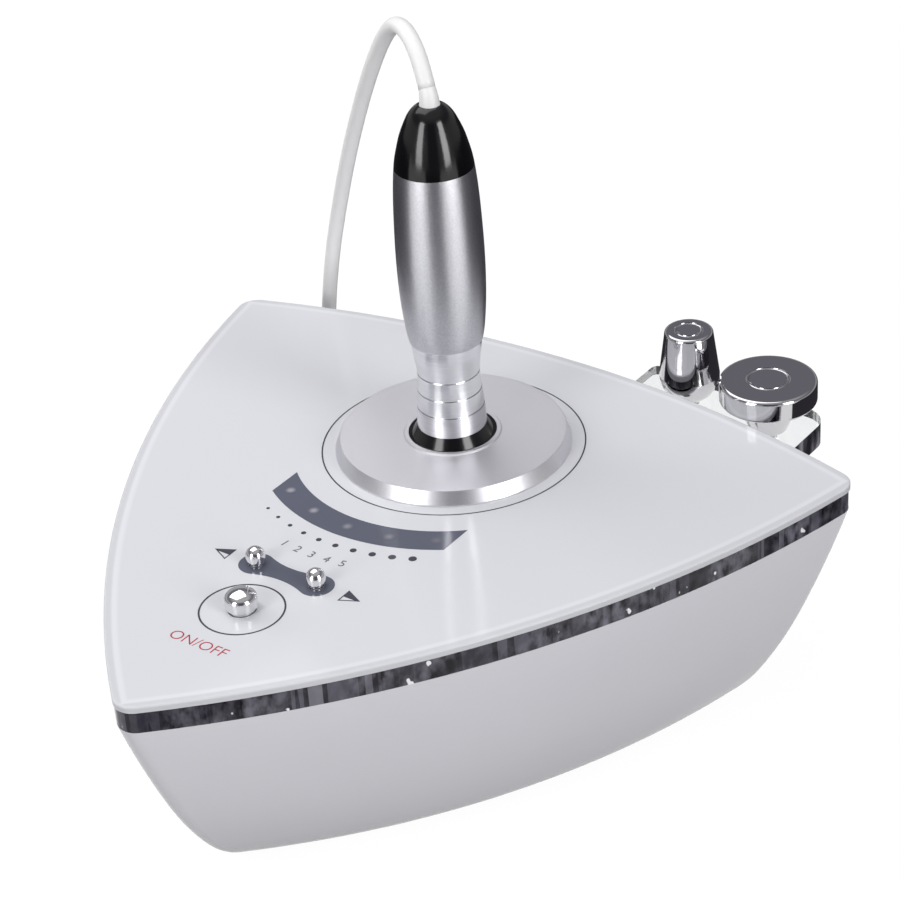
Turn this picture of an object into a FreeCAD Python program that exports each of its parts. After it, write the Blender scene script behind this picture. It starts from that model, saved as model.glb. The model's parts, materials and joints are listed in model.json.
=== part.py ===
import FreeCAD, Part
import math
import os

# Tabletop radio-frequency facial device: a three-sided base with a glossy top panel, a handpiece standing
# in a round dish, three domed push buttons, and two spare treatment heads on a clear stand at the back.
# Millimetres. Everything is drawn about the upright axis of the dish (x = y = 0) with the floor at z = 0,
# +X to the user's right and +Y to the back, and is moved at the end so that the origin is in the middle of
# the footprint.

V = FreeCAD.Vector
UP = V(0, 0, 1)
BACK = V(0, 1, 0)

# Plan of the base: three bowed sides with rounded corners
half_width = 126.8        # middle to a back corner
plan_depth = 216.3        # line of the back corners to the front point
back_reach = 45.7         # dish axis to the line of the back corners
side_bulge = 20.65        # rise of each bowed side
corner_radius = 7.0

# Heights, from the floor up
foot_height = 2.3
shell_height = 74.0
trim_height = 7.5
panel_thickness = 2.2

# Fits
fixed_gap = 0.05          # round pieces that are pushed or screwed together
moving_gap = 0.3          # round pieces that slide past each other
thread_gap = 0.15         # a head's hole round the stud that it screws onto
overrun = 2.0             # how far a cutting shape runs past what it cuts

# Lower shell, a bowl whose sections shrink towards the floor
shell_wall = 2.5
shell_inset = 0.4         # how far its rim stands in from the panel's edge
bottom_share = 0.71       # its outline at the floor, as a share of the outline at the rim
taper_reach = 23.0        # how far in front of the dish axis the sections shrink to
profile_power = 1.73
section_count = 7

# Trim band, deck and panel
trim_inset = 0.5
trim_wall = 2.2
deck_gap = 0.3
deck_thickness = 3.0
panel_edge_round = 0.7

# Screws that hold the deck, the boards and the stand
screw_radius = 1.5
screw_bite = 7.0          # length in the piece that it is driven into
screw_head_radius = 2.8
screw_head_height = 2.0
post_radius = 4.5
post_roof = 6.0           # thickness of a case post above the screw's head
deck_boss_length = 10.0
front_post_x = 40.0
front_post_y = -62.0
rear_post_x = 70.0
rear_post_y = 18.0

# Rubber feet
foot_radius = 8.0
foot_recess = 0.8
front_foot_inset = 25.8   # its middle behind the front point of the shell's bottom
rear_foot_x = 64.0
rear_foot_y = 20.0

# Dish and the bush that holds the handpiece
dish_radius = 39.5
dish_top_radius = 37.7
dish_height = 5.0
dish_lip = 0.6            # upright edge under the bevel
dish_rim_radius = 16.5
dish_rim_height = 0.5
bush_flange_radius = 14.7
bush_flange_thickness = 2.3
bush_flange_drop = 0.3    # flange top below the dish's rim
bush_radius = 13.9
bush_bore = 12.9
bush_depth = 23.4         # below the flange
bush_floor = 2.0
bush_nut_radius = 18.5
bush_nut_height = 4.0

# Push buttons: a domed cap on a stem, with a flange under the deck and a tactile switch below.
# Their places, and those of the control board under them, are shares of the way from the dish's edge to the
# panel's front point.
power_button_share = 0.5507
level_button_share = 0.3852
power_cap_radius = 5.15
power_cap_side = 2.9      # upright side below the dome
power_dome = 2.8
power_stem_radius = 4.2
level_button_x = 12.0
level_cap_radius = 3.15
level_cap_side = 1.8
level_dome = 3.0
level_stem_radius = 2.1
button_clear = 1.5        # cap's underside above the panel
button_travel = 1.2
dome_share = 0.55         # how far the dome's handles reach, for an even round
button_flange = 1.5       # width and thickness of the stop under the deck
plunger_radius = 1.75
plunger_length = 5.0
plunger_showing = 2.8     # length between the flange and the switch
switch_side = 6.2
switch_height = 4.5

# Control board under the deck, with the level lights
board_thickness = 1.6
board_half_width = 33.5
board_front_share = 0.6064
board_rear_share = 0.0343
board_post_radius = 3.0
board_post_front_x = 22.0
board_post_front_share = 0.553
board_post_rear_x = 27.0
board_post_rear_share = 0.2708
board_screw_bite = 5.0
light_circle_share = 0.1457
light_step = 15.0         # degrees
light_count = 5
light_radius = 1.5
light_depth = 1.6         # top of a light below the panel's underside

# Main board with the radio-frequency circuit, on short posts on the shell's floor
main_half_width = 44.0
main_front_y = -48.0
main_rear_y = 22.0
main_post_height = 8.0
main_post_x = 38.0
main_post_front_y = -42.0
main_post_rear_y = 16.0
core_length = 32.0
core_width = 26.0
core_height = 24.0
core_limb = 6.0
core_x = -19.0
core_y = -8.0
winding_gap = 0.5
sink_length = 36.0
sink_width = 20.0
sink_height = 22.0
sink_base = 3.0
sink_fin = 1.6
sink_fin_count = 5
sink_clear = 1.2          # beside the heads of the main board's right screws
sink_y = 4.0
chip_length = 10.0
chip_height = 15.0
chip_thickness = 4.5
capacitor_radius = 5.0
capacitor_height = 18.0
capacitor_gap = 2.0       # in front of the transformer
capacitor_spacing = 14.0
ribbon_width = 14.0
ribbon_thickness = 1.0
ribbon_y = -46.0

# Round pads moulded on the shell's back for the sockets
pad_radius = 10.0
pad_depth = 15.0
pad_proud = 1.2
socket_nut_height = 3.0
jack_corner_inset = 51.8  # its axis in from the left back corner
jack_z = 22.0
jack_barrel_radius = 6.0
jack_flange_radius = 8.5
jack_flange_thickness = 1.6
jack_nose = 7.0           # threaded end outside the flange
jack_bore = 4.6
jack_bore_depth = 16.0
jack_tail = 5.0           # length behind the nut
inlet_x = 50.0
inlet_z = 30.0
inlet_radius = 5.5
inlet_flange_radius = 7.5
inlet_flange_thickness = 1.5
inlet_bore = 3.2
inlet_bore_depth = 10.0
inlet_pin_radius = 1.05
inlet_pin_recess = 1.0
inlet_tail = 4.0

# Clear stand behind the base, and the two spare heads on it
stand_left_x = 21.2
stand_right_x = 91.3
stand_rear_y = 92.6
stand_inner_y = 42.0
stand_thickness = 8.4
stand_drop = 0.6          # its top below the shell's rim
stand_corner = 9.0
stand_left_corner = 2.5
stand_slot_gap = 0.3
stand_post_inset = 15.0
stand_post_y = 47.5
head_stud_radius = 3.0
head_stud_length = 8.0
eye_x = 42.3
eye_y = 81.4
eye_height = 25.4
eye_widest = 8.5          # height of the widest place above the stand
eye_radius = 10.5
eye_base_radius = 6.5
eye_top_radius = 8.45
eye_groove_radius = 5.2
eye_edge = 1.2
body_x = 76.7
body_y = 75.7
body_height = 18.7
body_radius = 16.6
body_base_radius = 6.5
body_cone_radius = 11.0
body_disc_height = 8.2
body_groove_radius = 7.6
body_edge = 1.3
head_groove_width = 1.2
head_groove_depth = 0.55

# Handpiece, upright in the bush
neck_start = 3.5          # neck's lower edge above the bush's flange
neck_length = 31.8
neck_end_radius = 11.55
neck_height_shares = (0, 0.228, 0.42, 0.623, 0.81, 1)
neck_radius_shares = (1, 0.97, 0.922, 0.895, 0.953, 1.011)
neck_bore = 6.5
groove_count = 3          # at the neck's heights after its lower edge
groove_width = 0.6
groove_depth = 0.35
joint_spigot = 8.0        # length of the spigots in the barrel
joint_radius = 9.4
barrel_length = 61.8
barrel_radius = 14.3
barrel_height_shares = (0, 0.036, 0.11, 0.2, 0.28, 0.478, 0.687, 0.859, 1)
barrel_radius_shares = (0.843, 0.878, 0.922, 0.958, 0.979, 1, 0.984, 0.95, 0.895)
cap_length = 20.8
cap_height_shares = (0, 0.165, 0.35, 0.53, 0.71, 0.84, 0.93, 1)
cap_radius_shares = (1, 0.957, 0.885, 0.8, 0.68, 0.575, 0.46, 0.30)
cap_wall = 2.6
collar_flare_radius = 13.9
collar_spigot_radius = 12.3
collar_spigot = 6.2       # below the bush's flange
collar_tenon = 20.0       # inside the neck
stud_radius = 3.0
stud_head_radius = 5.0
stud_head_height = 3.0
stud_showing = 9.0        # in the mounted head
face_radius = 11.6
face_height = 14.0
face_dome = 3.0
lead_radius = 1.2

# Cord of the handpiece: its boot, the free stretches, the put-away coil with its tie, and the plug
cord_diameter = 5.4
cord_heading = 147.0      # degrees from +X, the way the cord leaves over the base
arc_share = 0.45          # part of the shorter run that a bend takes up
turn_share = 1e-4         # part of a turn over which the coil's direction is taken
boot_base_radius = 3.3
boot_length = 5.0         # above the cap, along its bend
boot_lean = 30.0          # degrees
boot_shares = (0, 1 / 3, 2 / 3, 1)
boot_tail = 10.0          # inside the cap
first_run = 8.0           # straight part of the cord's line out of the boot
coil_x = -20.0
coil_y = 101.0
coil_outer_radius = 36.0
coil_turns = 2            # in each of the two layers
coil_gap = 0.6            # between neighbouring turns
tie_wall = 0.6
tie_width = 9.0
tie_gap = 0.4
plug_ring_radius = 8.0
plug_radius = 6.8
plug_length = 18.0
plug_nose = 9.0
plug_boot_radius = 5.2
plug_boot_length = 17.0

# Levels and places that follow from the sizes above
z_floor = foot_height + shell_wall
z_rim = foot_height + shell_height
z_panel = z_rim + trim_height
z_top = z_panel + panel_thickness
z_deck = z_panel - deck_thickness
z_dish = z_top + dish_height
z_flange = z_dish + dish_rim_height - bush_flange_drop
z_switch = z_deck - button_flange - plunger_showing
z_board = z_switch - switch_height
z_main = z_floor + main_post_height + board_thickness
z_stand = z_rim - stand_drop
z_neck = z_flange + neck_start
z_barrel = z_neck + neck_length
z_cap = z_barrel + barrel_length
z_boot = z_cap + cap_length
front_point = V(0, back_reach - plan_depth, 0)
taper_centre = V(0, -taper_reach, 0)
front_foot_y = (taper_centre + (front_point - taper_centre) * bottom_share).y + front_foot_inset
jack_x = jack_corner_inset - half_width
sink_x = main_post_x - screw_head_radius - sink_clear - sink_length / 2
cap_radius = barrel_radius * barrel_radius_shares[-1]
cord_radius = cord_diameter / 2
coil_pitch = cord_diameter + coil_gap
whole_turns = 2 * coil_turns + 1 / 2
coil_z = tie_wall + tie_gap + cord_radius
case_posts = [(front_post_x, front_post_y), (-front_post_x, front_post_y),
              (rear_post_x, rear_post_y), (-rear_post_x, rear_post_y)]
main_posts = [(x, y) for x in (-main_post_x, main_post_x) for y in (main_post_front_y, main_post_rear_y)]
stand_posts = [(x, stand_post_y) for x in (stand_left_x + stand_post_inset, stand_right_x - stand_post_inset)]


def panel_y(share):
    """Place on the panel's middle line, a share of the way from the dish's edge to the front point."""
    return (front_point.y + dish_radius) * share - dish_radius


board_posts = [(side * x, panel_y(share)) for side in (1, -1)
               for x, share in ((board_post_front_x, board_post_front_share),
                                (board_post_rear_x, board_post_rear_share))]


def cylinder(radius, low, high, x=0, y=0):
    """Upright cylinder between two heights."""
    return Part.makeCylinder(radius, high - low, V(x, y, low))


def back_cylinder(radius, near, far, x, z):
    """Cylinder that lies along Y."""
    return Part.makeCylinder(radius, far - near, V(x, near, z), BACK)


def box(low, high):
    size = high - low
    return Part.makeBox(size.x, size.y, size.z, low)


def turned(points, x=0, y=0):
    """Solid of revolution about an upright axis, from (radius, height) points of a closed outline."""
    corners = [V(radius, 0, z) for radius, z in points]
    return turned_wire(Part.makePolygon(corners + corners[:1]), x, y)


def turned_wire(wire, x=0, y=0):
    solid = Part.Face(wire).revolve(V(0, 0, 0), UP, 360)
    solid.translate(V(x, y, 0))
    return solid


def curved_turning(radii, heights, bottom, top_plug):
    """Solid of revolution whose side is one smooth curve through the given radii and heights."""
    curve = Part.BSplineCurve()
    curve.interpolate([V(r, 0, z) for r, z in zip(radii, heights)])
    low, high = V(0, 0, bottom), V(0, 0, top_plug)
    start, end = curve.value(curve.FirstParameter), curve.value(curve.LastParameter)
    edges = [curve.toShape(), Part.makeLine(end, high), Part.makeLine(high, low), Part.makeLine(low, start)]
    return turned_wire(Part.Wire(edges))


def lines(points):
    """Straight edges through (radius, height) points of a turned outline."""
    corners = [V(radius, 0, z) for radius, z in points]
    return [Part.makeLine(a, b) for a, b in zip(corners, corners[1:])]


def edge_round(start, corner, end):
    """Quarter arc that rounds a square corner."""
    middle = corner + (start + end - corner * 2) * (1 - math.sqrt(1 / 2))
    return Part.Arc(start, middle, end).toShape()


def side_circles():
    """Centre, radius and outward direction of the three bowed sides, anticlockwise from the front point."""
    corners = [front_point, V(half_width, back_reach, 0), V(-half_width, back_reach, 0)]
    circles = []
    for start, end in zip(corners, corners[1:] + corners[:1]):
        chord = end - start
        radius = (chord.Length ** 2 / 4 + side_bulge ** 2) / (2 * side_bulge)
        outward = V(chord.y, -chord.x, 0).normalize()
        centre = (start + end) / 2 - outward * (radius - side_bulge)
        circles.append((centre, radius, outward))
    return corners, circles


def rounding_centre(first, second, corner):
    """Centre of the corner's rounding, which touches the two bowed sides from inside."""
    radius_a, radius_b = first[1] - corner_radius, second[1] - corner_radius
    across = second[0] - first[0]
    along = (radius_a ** 2 - radius_b ** 2 + across.Length ** 2) / (2 * across.Length)
    aside = math.sqrt(radius_a ** 2 - along ** 2)
    unit = V(across).normalize()
    foot = first[0] + unit * along
    choices = [foot + V(-unit.y, unit.x, 0) * aside, foot - V(-unit.y, unit.x, 0) * aside]
    return min(choices, key=lambda point: (point - corner).Length)


def outline(z, inset, scale=1):
    """The base's outline at a height, shrunk about the taper's centre and set in by a wall."""
    corners, circles = side_circles()
    centres = [rounding_centre(circles[i - 1], circles[i], corners[i]) for i in range(3)]

    def placed(point):
        return taper_centre + (point - taper_centre) * scale + V(0, 0, z)

    def touch(side, rounding):
        centre, radius = placed(circles[side][0]), circles[side][1] * scale - inset
        return centre + (placed(rounding) - centre).normalize() * radius

    edges = []
    for i in range(3):
        rounding, following = centres[i], centres[(i + 1) % 3]
        centre, radius, outward = circles[i]
        tip = placed(rounding) + (corners[i] - rounding).normalize() * (corner_radius * scale - inset)
        middle = placed(centre) + outward * (radius * scale - inset)
        edges.append(Part.Arc(touch(i - 1, rounding), tip, touch(i, rounding)).toShape())
        edges.append(Part.Arc(touch(i, rounding), middle, touch(i, following)).toShape())
    return Part.Wire(edges)


def slab(inset, low, high):
    return Part.Face(outline(low, inset)).extrude(UP * (high - low))


def bowl(inset, bottom):
    """Solid of the lower shell's outside, or of its hollow."""
    wires = []
    for step in range(section_count):
        share = step / (section_count - 1)
        z = bottom + (z_rim - bottom) * share ** profile_power
        wires.append(outline(z, inset, bottom_share + (1 - bottom_share) * share))
    return Part.makeLoft(wires, True)


def back_wall_y(x, z):
    """Outside of the lower shell's back at a place across it and a height."""
    share = ((z - foot_height) / shell_height) ** (1 / profile_power)
    scale = bottom_share + (1 - bottom_share) * share
    centre, radius, _ = side_circles()[1][1]
    y = centre.y + math.sqrt(radius ** 2 - (x / scale) ** 2)
    return -taper_reach + (y + taper_reach) * scale - shell_inset


def pad_face(x, z):
    """Flat face of a socket's pad, just proud of the wall all round it."""
    return max(back_wall_y(x + side * pad_radius, z + pad_radius) for side in (-1, 0, 1)) + pad_proud


jack_face = pad_face(jack_x, jack_z)
inlet_face = pad_face(inlet_x, inlet_z)
foot_spots = {"front_foot": (0, front_foot_y), "left_foot": (-rear_foot_x, rear_foot_y),
              "right_foot": (rear_foot_x, rear_foot_y)}


def case_screw_seat():
    return z_deck - deck_boss_length - post_roof


def make_lower_shell():
    outside = bowl(shell_inset, foot_height)
    shell = outside.cut(bowl(shell_inset + shell_wall, z_floor))
    notch = box(V(stand_left_x - stand_slot_gap, stand_inner_y, z_stand - stand_thickness),
                V(stand_right_x + stand_slot_gap, stand_rear_y, z_rim + overrun))
    shell = shell.cut(notch)
    posts = [cylinder(post_radius, foot_height, z_deck - deck_boss_length, x, y) for x, y in case_posts]
    posts += [cylinder(post_radius, foot_height, z_stand - stand_thickness, x, y) for x, y in stand_posts]
    posts += [cylinder(board_post_radius, foot_height, z_main - board_thickness, x, y) for x, y in main_posts]
    shell = shell.fuse([post.common(outside) for post in posts])
    pads = [back_cylinder(pad_radius, face - pad_depth, face, x, z)
            for x, z, face in ((jack_x, jack_z, jack_face), (inlet_x, inlet_z, inlet_face))]
    shell = shell.fuse(pads)
    holes = []
    for x, y in case_posts:
        holes.append(cylinder(screw_radius + fixed_gap, foot_height, z_deck, x, y))
        holes.append(cylinder(screw_head_radius + fixed_gap, foot_height - overrun, case_screw_seat(), x, y))
    for spots, top in ((stand_posts, z_stand - stand_thickness), (main_posts, z_main - board_thickness)):
        holes += [cylinder(screw_radius, top - screw_bite, top + overrun, x, y) for x, y in spots]
    for x, y in foot_spots.values():
        seat = foot_height + foot_recess
        holes.append(cylinder(foot_radius + fixed_gap, foot_height - overrun, seat, x, y))
    for x, z, face, radius in ((jack_x, jack_z, jack_face, jack_barrel_radius),
                               (inlet_x, inlet_z, inlet_face, inlet_radius)):
        holes.append(back_cylinder(radius + fixed_gap, face - pad_depth - overrun, face + overrun, x, z))
    return shell.cut(holes)


def make_trim_band():
    return slab(trim_inset, z_rim, z_panel).cut(slab(trim_inset + trim_wall, z_rim, z_panel))


def button_spots():
    """Each button's place, cap radius, height of the cap's side, rise of its dome and stem radius."""
    power = (power_cap_radius, power_cap_side, power_dome, power_stem_radius)
    level = (level_cap_radius, level_cap_side, level_dome, level_stem_radius)
    return {"power": (0, panel_y(power_button_share)) + power,
            "down": (-level_button_x, panel_y(level_button_share)) + level,
            "up": (level_button_x, panel_y(level_button_share)) + level}


def light_spots():
    middle = (light_count - 1) / 2
    angles = [math.radians(-90 + light_step * (i - middle)) for i in range(light_count)]
    reach = -panel_y(light_circle_share)
    return [(reach * math.cos(a), reach * math.sin(a)) for a in angles]


def button_holes(low, high):
    return [cylinder(stem + moving_gap, low - overrun, high + overrun, x, y)
            for x, y, _, _, _, stem in button_spots().values()]


def make_deck():
    deck = slab(trim_inset + trim_wall + deck_gap, z_deck, z_panel)
    bosses = [cylinder(post_radius, z_deck - deck_boss_length, z_deck, x, y) for x, y in case_posts]
    bosses += [cylinder(board_post_radius, z_board, z_deck, x, y) for x, y in board_posts]
    deck = deck.fuse(bosses)
    holes = button_holes(z_deck, z_panel)
    holes.append(cylinder(bush_radius + fixed_gap, z_deck - overrun, z_panel + overrun))
    holes += [cylinder(light_radius + moving_gap, z_deck - overrun, z_panel + overrun, x, y)
              for x, y in light_spots()]
    for x, y in case_posts:
        low = z_deck - deck_boss_length
        holes.append(cylinder(screw_radius, low - overrun, low + screw_bite, x, y))
    for x, y in board_posts:
        holes.append(cylinder(screw_radius, z_board - overrun, z_board + board_screw_bite, x, y))
    return deck.cut(holes).removeSplitter()


def make_top_panel():
    panel = slab(0, z_panel, z_top)
    rim = [edge for edge in panel.Edges if all(abs(v.Z - z_top) < fixed_gap for v in edge.Vertexes)]
    panel = panel.makeFillet(panel_edge_round, rim)
    holes = button_holes(z_panel, z_top)
    holes.append(cylinder(bush_radius + fixed_gap, z_panel - overrun, z_top + overrun))
    return panel.cut(holes)


def make_dish():
    seat = z_flange - bush_flange_thickness
    rim_bore = bush_flange_radius + fixed_gap
    return turned([(bush_radius + fixed_gap, z_top), (dish_radius, z_top), (dish_radius, z_top + dish_lip),
                   (dish_top_radius, z_dish), (dish_rim_radius, z_dish),
                   (dish_rim_radius - dish_rim_height, z_dish + dish_rim_height),
                   (rim_bore, z_dish + dish_rim_height), (rim_bore, seat), (bush_radius + fixed_gap, seat)])


def make_holder_bush():
    seat = z_flange - bush_flange_thickness
    bottom = seat - bush_depth
    return turned([(0, bottom), (bush_radius, bottom), (bush_radius, seat), (bush_flange_radius, seat),
                   (bush_flange_radius, z_flange), (bush_bore, z_flange), (bush_bore, bottom + bush_floor),
                   (0, bottom + bush_floor)])


def make_bush_nut():
    nut = cylinder(bush_nut_radius, z_deck - bush_nut_height, z_deck)
    return nut.cut(cylinder(bush_radius + fixed_gap, z_deck - bush_nut_height, z_deck))


def dome_curve(radius, low, high):
    """Curve of a round top, from its upright side to its middle."""
    curve = Part.BezierCurve()
    curve.setPoles([V(radius, 0, low), V(radius, 0, low + (high - low) * dome_share),
                    V(radius * dome_share, 0, high), V(0, 0, high)])
    return curve.toShape()


def make_button(name):
    x, y, cap, side, rise, stem = button_spots()[name]
    bottom, flange = z_deck - button_flange, stem + button_flange
    under = z_top + button_clear
    shoulder, top = under + side, under + side + rise
    edges = lines([(0, top), (0, bottom), (flange, bottom), (flange, z_deck), (stem, z_deck),
                   (stem, under), (cap, under), (cap, shoulder)])
    return turned_wire(Part.Wire(edges + [dome_curve(cap, shoulder, top)]), x, y)


def make_plunger(name):
    x, y = button_spots()[name][:2]
    top = z_deck - button_flange
    return cylinder(plunger_radius, top - plunger_length, top, x, y)


def make_switch(name):
    x, y = button_spots()[name][:2]
    half = switch_side / 2
    body = box(V(x - half, y - half, z_board), V(x + half, y + half, z_switch))
    well = z_deck - button_flange - plunger_length - button_travel - moving_gap
    return body.cut(cylinder(plunger_radius + moving_gap, well, z_switch + overrun, x, y))


def make_control_board():
    board = box(V(-board_half_width, panel_y(board_front_share), z_board - board_thickness),
                V(board_half_width, panel_y(board_rear_share), z_board))
    holes = [cylinder(screw_radius + fixed_gap, z_board - board_thickness - overrun, z_board + overrun, x, y)
             for x, y in board_posts]
    return board.cut(holes)


def make_level_lights():
    top = z_panel - light_depth
    lights = []
    for x, y in light_spots():
        dome = Part.makeSphere(light_radius, V(x, y, top - light_radius))
        lights.append(cylinder(light_radius, z_board, top - light_radius, x, y).fuse(dome).removeSplitter())
    return Part.makeCompound(lights)


def screw(x, y, seat, end, head_end):
    """Pan-head screw: shank from its seat to its end, head on the other side of the seat."""
    shank = cylinder(screw_radius, min(seat, end), max(seat, end), x, y)
    head = cylinder(screw_head_radius, min(seat, head_end), max(seat, head_end), x, y)
    return shank.fuse(head).removeSplitter()


def make_case_screws():
    seat = case_screw_seat()
    end = z_deck - deck_boss_length + screw_bite
    return Part.makeCompound([screw(x, y, seat, end, seat - screw_head_height) for x, y in case_posts])


def make_board_screws():
    seat = z_board - board_thickness
    end = z_board + board_screw_bite
    return Part.makeCompound([screw(x, y, seat, end, seat - screw_head_height) for x, y in board_posts])


def make_main_screws():
    end = z_main - board_thickness - screw_bite
    return Part.makeCompound([screw(x, y, z_main, end, z_main + screw_head_height) for x, y in main_posts])


def make_stand_screws():
    end = z_stand - stand_thickness - screw_bite
    return Part.makeCompound([screw(x, y, z_stand, end, z_stand + screw_head_height) for x, y in stand_posts])


def make_foot(name):
    x, y = foot_spots[name]
    return cylinder(foot_radius, 0, foot_height + foot_recess, x, y)


def make_main_board():
    board = box(V(-main_half_width, main_front_y, z_main - board_thickness),
                V(main_half_width, main_rear_y, z_main))
    holes = [cylinder(screw_radius + fixed_gap, z_main - board_thickness - overrun, z_main + overrun, x, y)
             for x, y in main_posts]
    return board.cut(holes)


def make_transformer_core():
    """Ferrite core: a closed frame with a middle limb."""
    low = V(core_x - core_length / 2, core_y - core_width / 2, z_main)
    core = box(low, low + V(core_length, core_width, core_height))
    window = (core_length - 3 * core_limb) / 2
    for side in (0, 1):
        start = low + V(core_limb + side * (window + core_limb), -overrun, core_limb)
        core = core.cut(box(start, start + V(window, core_width + 2 * overrun, core_height - 2 * core_limb)))
    return core


def winding_thickness():
    return (core_length - 3 * core_limb) / 2 - winding_gap


def make_transformer_winding():
    """Winding round the middle limb, standing out of the windows at both ends."""
    thickness = winding_thickness()
    middle = V(core_x, core_y, z_main + core_height / 2)
    tall = core_height / 2 - core_limb
    outer = V(core_limb / 2 + thickness, core_width / 2 + thickness, tall)
    inner = V(core_limb / 2, core_width / 2, tall)
    return box(middle - outer, middle + outer).cut(box(middle - inner, middle + inner))


def make_heat_sink():
    low = V(sink_x - sink_length / 2, sink_y - sink_width / 2, z_main)
    fins = [box(low, low + V(sink_length, sink_width, sink_base))]
    step = (sink_width - sink_fin) / (sink_fin_count - 1)
    for i in range(sink_fin_count):
        start = low + V(0, step * i, 0)
        fins.append(box(start, start + V(sink_length, sink_fin, sink_height)))
    return fins[0].fuse(fins[1:]).removeSplitter()


def make_power_chip():
    """Power transistor against the heat sink's front fin."""
    low = V(sink_x - chip_length / 2, sink_y - sink_width / 2 - chip_thickness, z_main)
    return box(low, low + V(chip_length, chip_thickness, chip_height))


def make_capacitors():
    y = core_y - core_width / 2 - winding_thickness() - capacitor_gap - capacitor_radius
    top = z_main + capacitor_height
    return Part.makeCompound([cylinder(capacitor_radius, z_main, top, side * capacitor_spacing, y)
                              for side in (-1, 1)])


def make_ribbon_cable():
    half = V(ribbon_width / 2, ribbon_thickness / 2, 0)
    return box(V(0, ribbon_y, z_main) - half, V(0, ribbon_y, z_board - board_thickness) + half)


def make_output_jack():
    x, z, face = jack_x, jack_z, jack_face
    tail = face - pad_depth - socket_nut_height - jack_tail
    end = face + jack_flange_thickness + jack_nose
    jack = back_cylinder(jack_barrel_radius, tail, end, x, z)
    jack = jack.fuse(back_cylinder(jack_flange_radius, face, face + jack_flange_thickness, x, z))
    return jack.cut(back_cylinder(jack_bore, end - jack_bore_depth, end + overrun, x, z)).removeSplitter()


def make_power_inlet():
    x, z, face = inlet_x, inlet_z, inlet_face
    tail = face - pad_depth - socket_nut_height - inlet_tail
    end = face + inlet_flange_thickness
    inlet = back_cylinder(inlet_radius, tail, end, x, z)
    inlet = inlet.fuse(back_cylinder(inlet_flange_radius, face, end, x, z))
    return inlet.cut(back_cylinder(inlet_bore, end - inlet_bore_depth, end + overrun, x, z)).removeSplitter()


def make_inlet_pin():
    end = inlet_face + inlet_flange_thickness
    return back_cylinder(inlet_pin_radius, end - inlet_bore_depth, end - inlet_pin_recess, inlet_x, inlet_z)


def socket_nut(x, z, face, barrel_radius, nut_radius):
    inner = face - pad_depth
    nut = back_cylinder(nut_radius, inner - socket_nut_height, inner, x, z)
    return nut.cut(back_cylinder(barrel_radius + fixed_gap, inner - socket_nut_height, inner, x, z))


def make_tip_stand():
    low = z_stand - stand_thickness
    left, right, rear = stand_left_x, stand_right_x, stand_rear_y
    inner = [V(left, stand_inner_y, low), V(right, stand_inner_y, low)]
    right_turn = [V(right, rear - stand_corner, low), V(right, rear, low), V(right - stand_corner, rear, low)]
    left_turn = [V(left + stand_left_corner, rear, low), V(left, rear, low),
                 V(left, rear - stand_left_corner, low)]
    edges = [Part.makeLine(inner[0], inner[1]), Part.makeLine(inner[1], right_turn[0]),
             edge_round(*right_turn), Part.makeLine(right_turn[2], left_turn[0]),
             edge_round(*left_turn), Part.makeLine(left_turn[2], inner[0])]
    plate = Part.Face(Part.Wire(edges)).extrude(UP * stand_thickness)
    holes = [cylinder(head_stud_radius + moving_gap, low - overrun, z_stand + overrun, x, y)
             for x, y in ((eye_x, eye_y), (body_x, body_y))]
    for x, y in stand_posts:
        holes.append(cylinder(screw_radius + fixed_gap, low - overrun, z_stand + overrun, x, y))
    return plate.cut(holes)


def spare_head_edges(base_radius, shoulder_radius, groove_radius, top):
    """Outline that the spare heads share: the stud and foot, and the flat top with its round ring groove."""
    stud_end = z_stand - head_stud_length
    inner = groove_radius - head_groove_width
    middle = groove_radius - head_groove_width / 2
    foot = lines([(0, top), (0, stud_end), (head_stud_radius, stud_end), (head_stud_radius, z_stand),
                  (base_radius, z_stand)])
    groove = Part.Arc(V(groove_radius, 0, top), V(middle, 0, top - head_groove_depth), V(inner, 0, top))
    face = lines([(shoulder_radius, top), (groove_radius, top)]) + [groove.toShape()]
    return foot, face + lines([(inner, top), (0, top)])


def make_eye_head():
    """Small head: a straight taper above a rounded bottom, with a stud in the stand."""
    top, widest = z_stand + eye_height, z_stand + eye_widest
    drawn_in = eye_radius - eye_base_radius
    bend = (drawn_in ** 2 + eye_widest ** 2) / (2 * drawn_in)
    half_turn = math.asin(eye_widest / bend) / 2
    belly = Part.Arc(V(eye_base_radius, 0, z_stand),
                     V(eye_radius - bend * (1 - math.cos(half_turn)), 0, widest - bend * math.sin(half_turn)),
                     V(eye_radius, 0, widest)).toShape()
    foot, face = spare_head_edges(eye_base_radius, eye_top_radius - eye_edge, eye_groove_radius, top)
    taper = lines([(eye_radius, widest), (eye_top_radius, top - eye_edge)])
    brow = edge_round(V(eye_top_radius, 0, top - eye_edge), V(eye_top_radius, 0, top),
                      V(eye_top_radius - eye_edge, 0, top))
    return turned_wire(Part.Wire(foot + [belly] + taper + [brow] + face), eye_x, eye_y)


def make_body_head():
    """Wide disc on a cone, with a stud in the stand."""
    top = z_stand + body_height
    under = top - body_disc_height
    inner = body_radius - body_edge
    foot, face = spare_head_edges(body_base_radius, inner, body_groove_radius, top)
    cone = lines([(body_base_radius, z_stand), (body_cone_radius, under), (inner, under)])
    low_turn = edge_round(V(inner, 0, under), V(body_radius, 0, under), V(body_radius, 0, under + body_edge))
    side = lines([(body_radius, under + body_edge), (body_radius, top - body_edge)])
    high_turn = edge_round(V(body_radius, 0, top - body_edge), V(body_radius, 0, top), V(inner, 0, top))
    return turned_wire(Part.Wire(foot + cone + [low_turn] + side + [high_turn] + face), body_x, body_y)


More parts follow.
